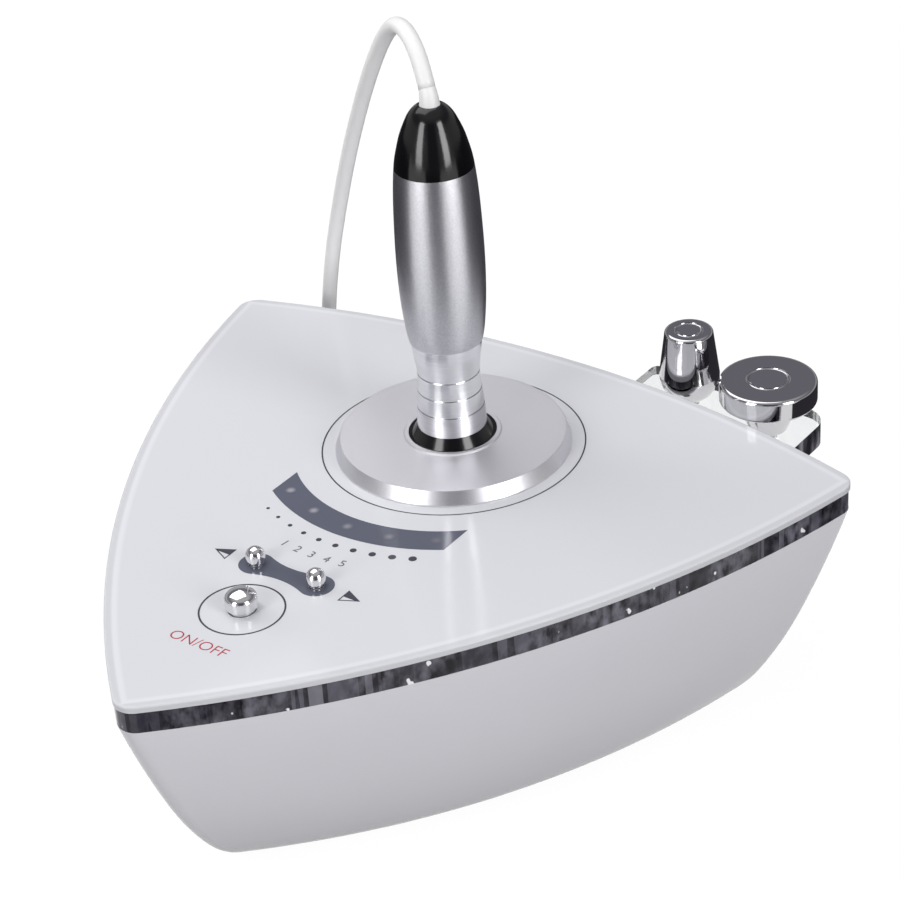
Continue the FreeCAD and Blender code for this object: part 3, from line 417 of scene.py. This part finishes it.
def inside_of_sides(made):
    """How far a point of the base lies inside its outline: the least of the ways to the three bowed sides."""
    place = flat_place(made)
    corners = [AXIS + Vector((x, y, 0)) for x, y in PANEL_CORNERS]
    least = None
    for start, end in zip(corners, corners[1:] + corners[:1]):
        chord = end - start
        radius = (chord.length_squared / 4 + SIDE_BULGE ** 2) / (2 * SIDE_BULGE)
        outward = Vector((chord.y, -chord.x, 0)).normalized()
        centre = (start + end) / 2 - outward * (radius - SIDE_BULGE)
        inside = add_node(made, "ShaderNodeMath", operation="SUBTRACT")
        inside.inputs[0].default_value = radius
        link(made, distance_from(made, place, centre), inside.inputs[1])
        if least is None:
            least = inside.outputs[0]
            continue
        nearer = add_node(made, "ShaderNodeMath", operation="MINIMUM")
        link(made, least, nearer.inputs[0])
        link(made, inside.outputs[0], nearer.inputs[1])
        least = nearer.outputs[0]
    return least


def scaled(made, value, whole):
    """Value as a share of a whole, from 0 to 1."""
    mapped = add_node(made, "ShaderNodeMapRange")
    mapped.inputs["From Max"].default_value = whole
    link(made, value, mapped.inputs["Value"])
    return mapped.outputs["Result"]


def mixed(made, share, first, second):
    """Colours mixed by a share."""
    node = add_node(made, "ShaderNodeMix", data_type="RGBA")
    link(made, share, node.inputs["Factor"])
    for colour, socket in zip((first, second), MIX_COLOURS):
        link(made, colour, node.inputs[socket])
    return node.outputs[MIX_RESULT]


def make_panel_finish():
    """Gloss panel: a clear edge and a pale line that runs softly into the printed field."""
    made = new_material("panel_gloss", PANEL_FIELD, roughness=0.06, specular_ior_level=0.15)
    colour = ramp(made, scaled(made, inside_of_sides(made), LIP_WIDTH), PANEL_STOPS)
    link(made, colour, shader_of(made).inputs["Base Color"])
    vary_roughness(made, scale=60, low=0.05, high=0.08)
    return made


def make_trim_painted_reflections():
    """Bright band with painted reflections: upright stripes, cloudy patches and a few painted glint marks."""
    made = new_material("trim_chrome", linear(60, 59, 68), roughness=0.12, specular_ior_level=0.25)
    painted_bars = ramp(made, noise(made, scale=70, stretch=(1, 1, 0.03)), TRIM_PAINTED_REFLECTION_BARS, "CONSTANT")
    painted_clouds = ramp(made, noise(made, scale=300, detail=4, stretch=(1, 1, 0.6)), TRIM_PAINTED_REFLECTION_CLOUDS)
    painted_cloud_share = ramp(made, noise(made, scale=60), TRIM_PAINTED_CLOUD_WEIGHT)
    painted_glint_lines = ramp(made, noise(made, scale=42, stretch=(1, 1, 0.02)), TRIM_PAINTED_GLINT_LINES)
    painted_glint_spots = ramp(made, noise(made, scale=230, stretch=(1, 1, 0.7)), TRIM_PAINTED_GLINT_SPOTS)
    painted_glints = add_node(made, "ShaderNodeMath", operation="MAXIMUM")
    link(made, painted_glint_lines, painted_glints.inputs[0])
    link(made, painted_glint_spots, painted_glints.inputs[1])
    white = ramp(made, painted_glint_spots, TRIM_PAINTED_GLINT_COLOURS)
    dark = mixed(made, painted_cloud_share, painted_bars, painted_clouds)
    link(made, mixed(made, painted_glints.outputs[0], dark, white), shader_of(made).inputs["Base Color"])
    return made


def make_dish_finish():
    """Turned disc, satin with a polished bevel."""
    made = satin("dish_satin", linear(233, 232, 237), DISH_ROUGHNESS, grain=4000)
    radius = scaled(made, distance_from(made, flat_place(made), AXIS), DISH_RADIUS)
    roughness = ramp(made, radius, list(zip(BEVEL_START, (grey(DISH_ROUGHNESS), grey(BEVEL_ROUGHNESS)))))
    link(made, roughness, shader_of(made).inputs["Roughness"])
    return made


def make_painted_glow_finish(name, level):
    """Lamp seen through the smoked window, its glow painted into the colour: bright in its middle, fading
    out.
    """
    made = printed(name, SMOKE)
    away = scaled(made, distance_from(made, flat_place(made), (0, 0, 0)), SPOT_RADIUS)
    bright = linear(level, level, level + SPOT_PAINTED_GLOW_BLUE)
    colour = ramp(made, away, list(zip(SPOT_PAINTED_GLOW_FADE, (bright, SMOKE))), "EASE")
    link(made, colour, shader_of(made).inputs["Base Color"])
    return made


def make_stand_finish():
    """Clear plate whose sides are less clear, with painted reflection and shade: dark with pale streaks."""
    made = new_material("stand_clear", (0.97, 0.98, 0.985), roughness=0.02, ior=1.49)
    coords = add_node(made, "ShaderNodeTexCoord")
    facing = add_node(made, "ShaderNodeVectorMath", operation="DOT_PRODUCT")
    facing.inputs[1].default_value = (0, 0, 1)
    link(made, coords.outputs["Normal"], facing.inputs[0])
    level = add_node(made, "ShaderNodeMath", operation="ABSOLUTE")
    link(made, facing.outputs["Value"], level.inputs[0])
    clear = ramp(made, level.outputs[0], STAND_CLEAR)
    painted_edge_streaks = ramp(made, noise(made, scale=160, detail=3, stretch=(1, 1, 0.35)), STAND_PAINTED_EDGE_STREAKS)
    faces = ramp(made, noise(made, scale=30), STAND_FACES)
    link(made, mixed(made, level.outputs[0], painted_edge_streaks, faces), shader_of(made).inputs["Base Color"])
    link(made, clear, shader_of(made).inputs["Transmission Weight"])
    return made


def make_barrel_finish():
    """Blasted and turned metal, whose turning draws highlights out along its axis."""
    made = satin("handpiece_satin", linear(210, 210, 215), roughness=0.36, grain=1600, depth=0.00004)
    shader_of(made).inputs["Anisotropic"].default_value = BARREL_ANISOTROPY
    shader_of(made).inputs["Anisotropic Rotation"].default_value = BARREL_GRAIN_TURN
    round_axis = add_node(made, "ShaderNodeTangent", direction_type="RADIAL", axis="Z")
    link(made, round_axis.outputs["Tangent"], shader_of(made).inputs["Tangent"])
    return made


shell_finish = moulded("shell_white", linear(225, 224, 230), 0.22, shade=0.985, specular_ior_level=0.14)
panel_finish = make_panel_finish()
trim_finish = make_trim_painted_reflections()
dish_finish = make_dish_finish()
black_finish = moulded("black_plastic", linear(7, 7, 9), 0.15, depth=0.0000005, specular_ior_level=0.55)
button_finish = plated("button_chrome", linear(228, 228, 230), 0.05)
head_finish = plated("head_chrome", linear(203, 202, 205), 0.06)
handpiece_finish = make_barrel_finish()
neck_finish = satin("neck_turned", linear(239, 239, 242), 0.24, depth=0.000003, stretch=(0.02, 0.02, 1))
stand_finish = make_stand_finish()
cord_finish = moulded("cord_white", linear(236, 236, 236), 0.42, grain=900)
tie_finish = moulded("tie_fabric", linear(228, 228, 228), 0.8, grain=2500, depth=0.00006)
window_finish = printed("window_smoke", SMOKE)
dark_ink = printed("ink_dark", linear(72, 74, 84))
grey_ink = printed("ink_grey", linear(112, 113, 122))
red_ink = printed("ink_red", linear(178, 52, 66))

# Slots with a plain finish: how it is made, 8-bit colour, roughness
PLAIN_FINISHES = {
    "deck_plastic": (moulded, (222, 222, 224), 0.5),
    "chip_black": (moulded, (48, 48, 50), 0.5),
    "board_green": (moulded, (38, 122, 72), 0.35),
    "light_lens": (moulded, (226, 231, 243), 0.15),
    "screw_steel": (satin, (203, 203, 203), 0.3),
    "ferrite": (moulded, (70, 70, 73), 0.6),
    "winding": (satin, (204, 142, 89), 0.3),
    "sink_aluminium": (satin, (218, 218, 218), 0.35),
    "capacitor_sleeve": (moulded, (39, 48, 84), 0.3),
    "ribbon_grey": (moulded, (188, 188, 188), 0.5),
    "socket_nickel": (satin, (217, 216, 211), 0.22),
    "stud_brass": (satin, (225, 203, 149), 0.25),
    "plug_white": (moulded, (230, 230, 230), 0.35),
    "foot_rubber": (moulded, (62, 62, 62), 0.7),
}
# Nodes whose finish differs from that of their slot
NODE_FINISHES = {"neck": neck_finish}


def slot_finishes():
    """Finish of each material slot of the frame."""
    finishes = {
        "shell_white": shell_finish,
        "panel_gloss": panel_finish,
        "trim_chrome": trim_finish,
        "dish_satin": dish_finish,
        "black_plastic": black_finish,
        "button_chrome": button_finish,
        "head_chrome": head_finish,
        "handpiece_satin": handpiece_finish,
        "stand_clear": stand_finish,
        "cord_white": cord_finish,
        "tie_fabric": tie_finish,
    }
    for slot, (make, colour, roughness) in PLAIN_FINISHES.items():
        finishes[slot] = make(slot, linear(*colour), roughness)
    return finishes


def dress_frame():
    finishes = slot_finishes()
    for row in frame["record"]["subparts"]:
        mesh = frame["nodes"][row["node"]].data
        mesh.materials.clear()
        mesh.materials.append(NODE_FINISHES.get(row["node"], finishes[row["material_slot"]]))


dress_frame()


# Cord

def coil_place(turn):
    """Place on the coil's line: it spirals in on the floor, climbs in a half turn, and spirals out again."""
    reversal = COIL_TURNS / 2
    depth = turn if turn <= reversal else COIL_TURNS - turn
    inside = math.cos(math.pi / COIL_STEPS)    # the spline's share of its control points' radius
    radius = (COIL_RADIUS - COIL_PITCH * depth) / inside
    climb = min(max((turn - COIL_LAYER_TURNS) / (COIL_TURNS - 2 * COIL_LAYER_TURNS), 0), 1)
    z = COIL_FLOOR + COIL_PITCH * climb * climb * (3 - 2 * climb)
    angle = 2 * math.pi * turn - math.pi / 2
    return COIL_CENTRE[0] + radius * math.cos(angle), COIL_CENTRE[1] + radius * math.sin(angle), z


def cord_points():
    """The whole route as control points: the free stretch, the coil's turns and the end at the plug."""
    count = round(COIL_TURNS * COIL_STEPS)
    coil = [coil_place((i + 0.5) / COIL_STEPS) for i in range(count)]
    return [AXIS + Vector(point) for point in LEAD_ROUTE + coil + TAIL_ROUTE]


def smooth_line(points):
    """Points along the one smooth spline whose control points are given."""
    curve = bpy.data.curves.new("route", "CURVE")
    curve.dimensions = "3D"
    curve.resolution_u = SPLINE_STEPS
    spline = curve.splines.new("NURBS")
    spline.points.add(len(points) - 1)
    for control, point in zip(spline.points, points):
        control.co = (*point, 1)
    spline.order_u = 3
    spline.use_endpoint_u = True
    holder = bpy.data.objects.new("route", curve)
    mesh = bpy.data.meshes.new_from_object(holder)
    line = [vertex.co.copy() for vertex in mesh.vertices]
    bpy.data.objects.remove(holder)
    bpy.data.meshes.remove(mesh)
    return line


def swept_faces(rings, sides):
    """Faces between rings of vertices, and those that close the two ends."""
    faces = []
    for ring in range(rings - 1):
        for i in range(sides):
            a, b = ring * sides + i, ring * sides + (i + 1) % sides
            faces.append((a, b, b + sides, a + sides))
    last = (rings - 1) * sides
    return faces + [tuple(reversed(range(sides))), tuple(range(last, last + sides))]


def tube(line, radius, sides):
    """Vertices and faces of a closed round tube along a line."""
    vertices = []
    ways = [(b - a).normalized() for a, b in zip(line, line[1:])]
    ways.append(ways[-1])
    aside = ways[0].orthogonal().normalized()
    for point, way in zip(line, ways):
        aside = (aside - way * aside.dot(way)).normalized()
        other = way.cross(aside)
        for i in range(sides):
            angle = 2 * math.pi * i / sides
            vertices.append(point + (aside * math.cos(angle) + other * math.sin(angle)) * radius)
    return vertices, swept_faces(len(line), sides)


def mesh_piece(name, vertices, faces, finish, body="root", smooth=True):
    """Piece whose ends are flat, and whose sides are smooth if wanted."""
    mesh = bpy.data.meshes.new(name)
    mesh.from_pydata([tuple(v) for v in vertices], [], faces)
    mesh.update()
    mesh.materials.append(finish)
    for polygon in mesh.polygons:
        polygon.use_smooth = smooth and len(polygon.vertices) == 4
    return add_object(name, mesh, body)


def tie_line():
    """Middle line of the tie and its outward directions, in X and Z. It goes round the bundle from the top,
    and then lies over its own end and down the outer side."""
    half = TIE_THICKNESS / 2
    left, right = TIE_LOW.x + half, TIE_HIGH.x - half
    low, high = TIE_LOW.z + half, TIE_HIGH.z - half
    near, far = left + TIE_ROUND, right - TIE_ROUND
    bottom, top = low + TIE_ROUND, high - TIE_ROUND
    # Middle of each rounding, its first angle, and how many thicknesses its ends stand off
    roundings = [(near, top, 90, 0, 0), (near, bottom, 180, 0, 0), (far, bottom, 270, 0, 0),
                 (far, top, 0, 0, 1), (near, top, 90, 1, 1)]
    line = [(Vector(((left + right) / 2, 0, high)), Vector((0, 0, 1)))]
    for x, z, first, off_start, off_end in roundings:
        for i in range(TIE_STEPS + 1):
            share = i / TIE_STEPS
            angle = math.radians(first + 90 * share)
            out = Vector((math.cos(angle), 0, math.sin(angle)))
            reach = TIE_ROUND + TIE_THICKNESS * (off_start + (off_end - off_start) * share)
            line.append((Vector((x, 0, z)) + out * reach, out))
    line.append((Vector((left - TIE_THICKNESS, 0, (low + high) / 2)), Vector((-1, 0, 0))))
    return line


def make_tie():
    """Fabric band with chamfered edges, swept along its line."""
    half, low, high = TIE_THICKNESS / 2, TIE_LOW.y, TIE_HIGH.y
    section = [(half, low + TIE_EDGE), (half, high - TIE_EDGE), (half - TIE_EDGE, high),
               (TIE_EDGE - half, high), (-half, high - TIE_EDGE), (-half, low + TIE_EDGE),
               (TIE_EDGE - half, low), (half - TIE_EDGE, low)]
    line = tie_line()
    vertices = [point + out * off + Vector((0, y, 0)) for point, out in line for off, y in section]
    tie = mesh_piece("coil_tie", vertices, swept_faces(len(line), len(section)), tie_finish, smooth=False)
    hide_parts("cord_tie")
    return tie


def make_cord(tie):
    line = smooth_line(cord_points())
    vertices, faces = tube(line, CORD_DIAMETER / 2, CORD_SIDES)
    cord = mesh_piece("handpiece_cord", vertices, faces, cord_finish, body=None)
    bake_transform(cord)
    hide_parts("cord_lead", "cord_coil", "cord_tail")


make_cord(make_tie())


# Prints on the panel: thin closed plates made from flat outlines and words

def circle(centre, radius, steps=CIRCLE_STEPS):
    return arc(centre, radius, 0, 360 - 360 / steps, steps - 1)


def arc(centre, radius, first, last, steps):
    """Points from one angle to another, in degrees."""
    angles = [math.radians(first + (last - first) * i / steps) for i in range(steps + 1)]
    return [(centre[0] + radius * math.cos(a), centre[1] + radius * math.sin(a)) for a in angles]


def round_dish(radius, degrees):
    """Place on a circle round the dish."""
    angle = math.radians(degrees)
    return radius * math.cos(angle), radius * math.sin(angle)


def outline_curve(name, outlines):
    """Flat filled curve of closed outlines, in which an outline inside another is a hole."""
    curve = bpy.data.curves.new(name, "CURVE")
    curve.dimensions = "2D"
    curve.fill_mode = "BOTH"
    for outline in outlines:
        spline = curve.splines.new("POLY")
        spline.points.add(len(outline) - 1)
        for control, point in zip(spline.points, outline):
            control.co = (*point, 0, 1)
        spline.use_cyclic_u = True
    return curve


def word_curve(name, text, size, thinning=0.0):
    curve = bpy.data.curves.new(name, "FONT")
    curve.body = text
    curve.size = size
    curve.offset = -thinning * size
    curve.align_x = "CENTER"
    curve.align_y = "CENTER"
    return curve


def print_piece(name, curve, finish, place=(0, 0), turn=0.0, width=None, layer=0):
    """Plate of ink on the panel, or on lower layers of ink, from a flat curve. It is scaled to a width if
    one is given."""
    curve.extrude = PRINT_THICKNESS / 2
    holder = bpy.data.objects.new(name, curve)
    mesh = bpy.data.meshes.new_from_object(holder)
    bpy.data.objects.remove(holder)
    shape = bmesh.new()
    shape.from_mesh(mesh)
    bmesh.ops.remove_doubles(shape, verts=shape.verts, dist=MERGE_DISTANCE)
    bmesh.ops.recalc_face_normals(shape, faces=shape.faces)
    shape.to_mesh(mesh)
    shape.free()
    if width:
        reach = [vertex.co.x for vertex in mesh.vertices]
        size = width / (max(reach) - min(reach))
        mesh.transform(Matrix.Diagonal((size, size, 1, 1)))
    mesh.materials.clear()
    mesh.materials.append(finish)
    where = on_panel(*place, PANEL_TOP + PRINT_THICKNESS * (layer + 0.5))
    return add_object(name, mesh, at=Matrix.Translation(where) @ Matrix.Rotation(turn, 4, "Z"))


def ring_outlines(centre, radius, width):
    return [circle(centre, radius + width / 2), circle(centre, radius - width / 2)]


def window_outline():
    """Stretch of a ring in front of the dish, with ends cut straight."""
    outer = math.degrees(math.asin(WINDOW_HALF_WIDTH / WINDOW_OUTER))
    inner = math.degrees(math.asin(WINDOW_HALF_WIDTH / WINDOW_INNER))
    steps = CIRCLE_STEPS // 2
    return (arc((0, 0), WINDOW_OUTER, -90 - outer, -90 + outer, steps)
            + arc((0, 0), WINDOW_INNER, -90 + inner, -90 - inner, steps))


def patch_outlines():
    """Two lobes round the small buttons joined by a waist with hollow sides, and the holes of their stems."""
    (left, y), (right, _) = DOWN_PLACE, UP_PLACE
    middle, spread = (left + right) / 2, (right - left) / 2
    hollow = (spread ** 2 + PATCH_WAIST ** 2 - PATCH_LOBE ** 2) / (2 * (PATCH_LOBE - PATCH_WAIST))
    rise = PATCH_WAIST + hollow
    touch = math.degrees(math.atan2(rise, -spread))
    steps = DOT_STEPS
    outline = (arc((right, y), PATCH_LOBE, -touch, touch, 2 * steps)
               + arc((middle, y + rise), hollow, touch - 180, -touch, steps)[1:]
               + arc((left, y), PATCH_LOBE, 180 - touch, 180 + touch, 2 * steps)[1:]
               + arc((middle, y - rise), hollow, touch, 180 - touch, steps)[1:-1])
    return [outline, circle(DOWN_PLACE, PATCH_HOLE, DOT_STEPS), circle(UP_PLACE, PATCH_HOLE, DOT_STEPS)]


def arrow_outlines(side):
    """Triangle that points outwards: solid in its rear half, open in its front half."""
    y = UP_PLACE[1]
    base, tip = side * ARROW_BASE, side * ARROW_TIP
    slope = ARROW_HALF_HEIGHT / (ARROW_TIP - ARROW_BASE)
    inner = side * (ARROW_BASE + ARROW_LINE)
    reach = ARROW_HALF_HEIGHT - ARROW_LINE * (slope + math.hypot(slope, 1))
    inner_tip = side * (ARROW_TIP - ARROW_LINE * (1 + math.hypot(slope, 1)) / slope)
    triangle = [(base, y + ARROW_HALF_HEIGHT), (base, y - ARROW_HALF_HEIGHT), (tip, y)]
    opening = [(inner, y - ARROW_LINE), (inner, y - reach), (inner_tip, y - ARROW_LINE)]
    return [triangle, opening]


def dot_outlines():
    outlines = []
    for i in range(DOT_COUNT):
        centre = round_dish(DOT_CIRCLE, -90 + DOT_STEP * (i - (DOT_COUNT - 1) / 2))
        radius = DOT_SMALLEST + (DOT_LARGEST - DOT_SMALLEST) * i / (DOT_COUNT - 1)
        outlines.append(circle(centre, radius, DOT_STEPS))
    return outlines


def make_prints():
    shapes = [("dish_ring", ring_outlines((0, 0), DISH_RING_RADIUS, DISH_RING_WIDTH), dark_ink),
              ("power_ring", ring_outlines(POWER_PLACE, POWER_RING_RADIUS, POWER_RING_WIDTH), dark_ink),
              ("level_window", [window_outline()], window_finish),
              ("level_dots", dot_outlines(), dark_ink),
              ("button_patch", patch_outlines(), window_finish),
              ("arrow_down", arrow_outlines(-1), dark_ink),
              ("arrow_up", arrow_outlines(1), dark_ink)]
    for name, outlines, finish in shapes:
        print_piece(name, outline_curve(name, outlines), finish)
    words = word_curve("power_words", "ON/OFF", NUMBER_SIZE, WORD_THINNING)
    print_piece("power_words", words, red_ink, place=WORDS_PLACE, width=WORDS_WIDTH)
    for i in range(SPOT_COUNT):
        aside = i - (SPOT_COUNT - 1) / 2
        number, spot = f"level_number_{i + 1}", f"level_spot_{i + 1}"
        turn = NUMBER_STEP * aside
        print_piece(number, word_curve(number, str(i + 1), NUMBER_SIZE), grey_ink,
                    place=round_dish(NUMBER_CIRCLE, turn - 90), turn=math.radians(turn))
        # Lamp behind the window, its glow painted into the colour
        disc = outline_curve(spot, [circle((0, 0), SPOT_RADIUS, DOT_STEPS)])
        print_piece(spot, disc, make_painted_glow_finish(spot, SPOT_PAINTED_GLOW_LEVELS[i]),
                    place=round_dish(SPOT_CIRCLE, SPOT_STEP * aside - 90), layer=1)


make_prints()


# Stage and light

def stage_card(name, corners, finish):
    """Flat sheet of the stage."""
    mesh = bpy.data.meshes.new(name)
    mesh.from_pydata(corners, [], [tuple(range(len(corners)))])
    mesh.materials.append(finish)
    made = add_object(name, mesh, body=None)
    return made


def bare_material(name):
    """Material with nothing but its output."""
    made = bpy.data.materials.new(name)
    made.use_nodes = True
    made.node_tree.nodes.clear()
    return made, add_node(made, "ShaderNodeOutputMaterial")


def floor_finish():
    """Pale floor that takes the shadow, and looks white to the camera and in gloss and glass."""
    made, output = bare_material("floor")
    matt = add_node(made, "ShaderNodeBsdfDiffuse")
    matt.inputs["Color"].default_value = (*FLOOR_COLOUR, 1)
    glow = add_node(made, "ShaderNodeEmission")
    path = add_node(made, "ShaderNodeLightPath")
    seen = path.outputs["Is Camera Ray"]
    for ray in ("Is Glossy Ray", "Is Transmission Ray"):
        either = add_node(made, "ShaderNodeMath", operation="MAXIMUM")
        link(made, seen, either.inputs[0])
        link(made, path.outputs[ray], either.inputs[1])
        seen = either.outputs[0]
    level = add_node(made, "ShaderNodeMath", operation="MULTIPLY")
    level.inputs[1].default_value = FLOOR_GLOW
    link(made, seen, level.inputs[0])
    link(made, level.outputs[0], glow.inputs["Strength"])
    both = add_node(made, "ShaderNodeAddShader")
    link(made, matt.outputs[0], both.inputs[0])
    link(made, glow.outputs[0], both.inputs[1])
    link(made, both.outputs[0], output.inputs["Surface"])
    return made


def make_floor():
    half = FLOOR_HALF
    corners = [(-half, -half), (half, -half), (half, half), (-half, half)]
    stage_card("floor", [(x, y, -FLOOR_DROP) for x, y in corners], floor_finish())


def around(degrees, distance, z):
    """Point of the stage at an azimuth from the camera's."""
    azimuth = CAMERA_AZIMUTH + math.radians(degrees)
    return AXIS.x + distance * math.sin(azimuth), AXIS.y - distance * math.cos(azimuth), z


def gloss_card(name, corners, level):
    """Dark card that only gloss shows, for the dark parts of polished surfaces."""
    made, output = bare_material(name)
    glow = add_node(made, "ShaderNodeEmission")
    glow.inputs["Color"].default_value = (*(level * share for share in DARK_TINT), 1)
    link(made, glow.outputs[0], output.inputs["Surface"])
    card = stage_card(name, corners, made)
    for ray in ("camera", "diffuse", "transmission", "volume_scatter", "shadow"):
        setattr(card, "visible_" + ray, False)


def make_flag(name, first, last, start, level):
    """Dark sector of the floor."""
    corners = []
    for radius, ends in ((start, (first, last)), (FLOOR_HALF, (last, first))):
        for i in range(FLAG_STEPS + 1):
            degrees = ends[0] + (ends[1] - ends[0]) * i / FLAG_STEPS
            corners.append(around(degrees, radius, -FLOOR_DROP / 2))
    gloss_card(name, corners, level)


def make_room_end():
    half, distance, height, level = ROOM_END
    ends = [(-half, 0), (half, 0), (half, height), (-half, height)]
    gloss_card("room_end", [around(degrees, distance, z) for degrees, z in ends], level)


def soft_lamp(name, size, watts, place, turn):
    data = bpy.data.lights.new(name, "AREA")
    data.shape = "RECTANGLE"
    data.size, data.size_y = size
    data.energy = watts
    made = bpy.data.objects.new(name, data)
    made.matrix_world = Matrix.Translation(place) @ turn.to_matrix().to_4x4()
    made.visible_camera = False
    made.visible_glossy = name not in HIDDEN_FROM_GLOSS
    bpy.context.scene.collection.objects.link(made)


def make_lamp(name, azimuth, elevation, distance, width, height, watts):
    """Soft lamp that faces the object, at an azimuth from the camera's."""
    az, el = CAMERA_AZIMUTH + math.radians(azimuth), math.radians(elevation)
    way = Vector((math.sin(az) * math.cos(el), -math.cos(az) * math.cos(el), math.sin(el)))
    place = AXIS + Vector((0, 0, PANEL_TOP)) + way * distance
    soft_lamp(name, (width, height), watts, place, way.to_track_quat("Z", "Y"))


def make_bounce():
    """Light that the bright floor in front gives back. Gloss shows the floor instead of it."""
    away = BOUNCE_START + BOUNCE_SIZE[1] / 2
    azimuth = CAMERA_AZIMUTH + BOUNCE_AZIMUTH
    toward = Vector((math.sin(azimuth), -math.cos(azimuth), 0))
    facing_up = Euler((math.pi, 0, azimuth)).to_quaternion()
    soft_lamp("lamp_bounce", BOUNCE_SIZE, BOUNCE_WATTS, AXIS + toward * away, facing_up)


def make_world():
    """Surroundings by height: pale at the horizon and overhead, with a dark band that polished tops show."""
    world = bpy.data.worlds.new("studio")
    bpy.context.scene.world = world
    world.use_nodes = True
    coords = add_node(world, "ShaderNodeTexCoord")
    parts = add_node(world, "ShaderNodeSeparateXYZ")
    link(world, coords.outputs["Generated"], parts.inputs["Vector"])
    colour = ramp(world, parts.outputs["Z"], SKY)
    link(world, colour, world.node_tree.nodes["Background"].inputs["Color"])


make_floor()
for flag in FLAGS:
    make_flag(*flag)
make_room_end()
make_world()
for lamp in LAMPS:
    make_lamp(*lamp)
make_bounce()
bpy.context.scene.view_settings.view_transform = "Standard"
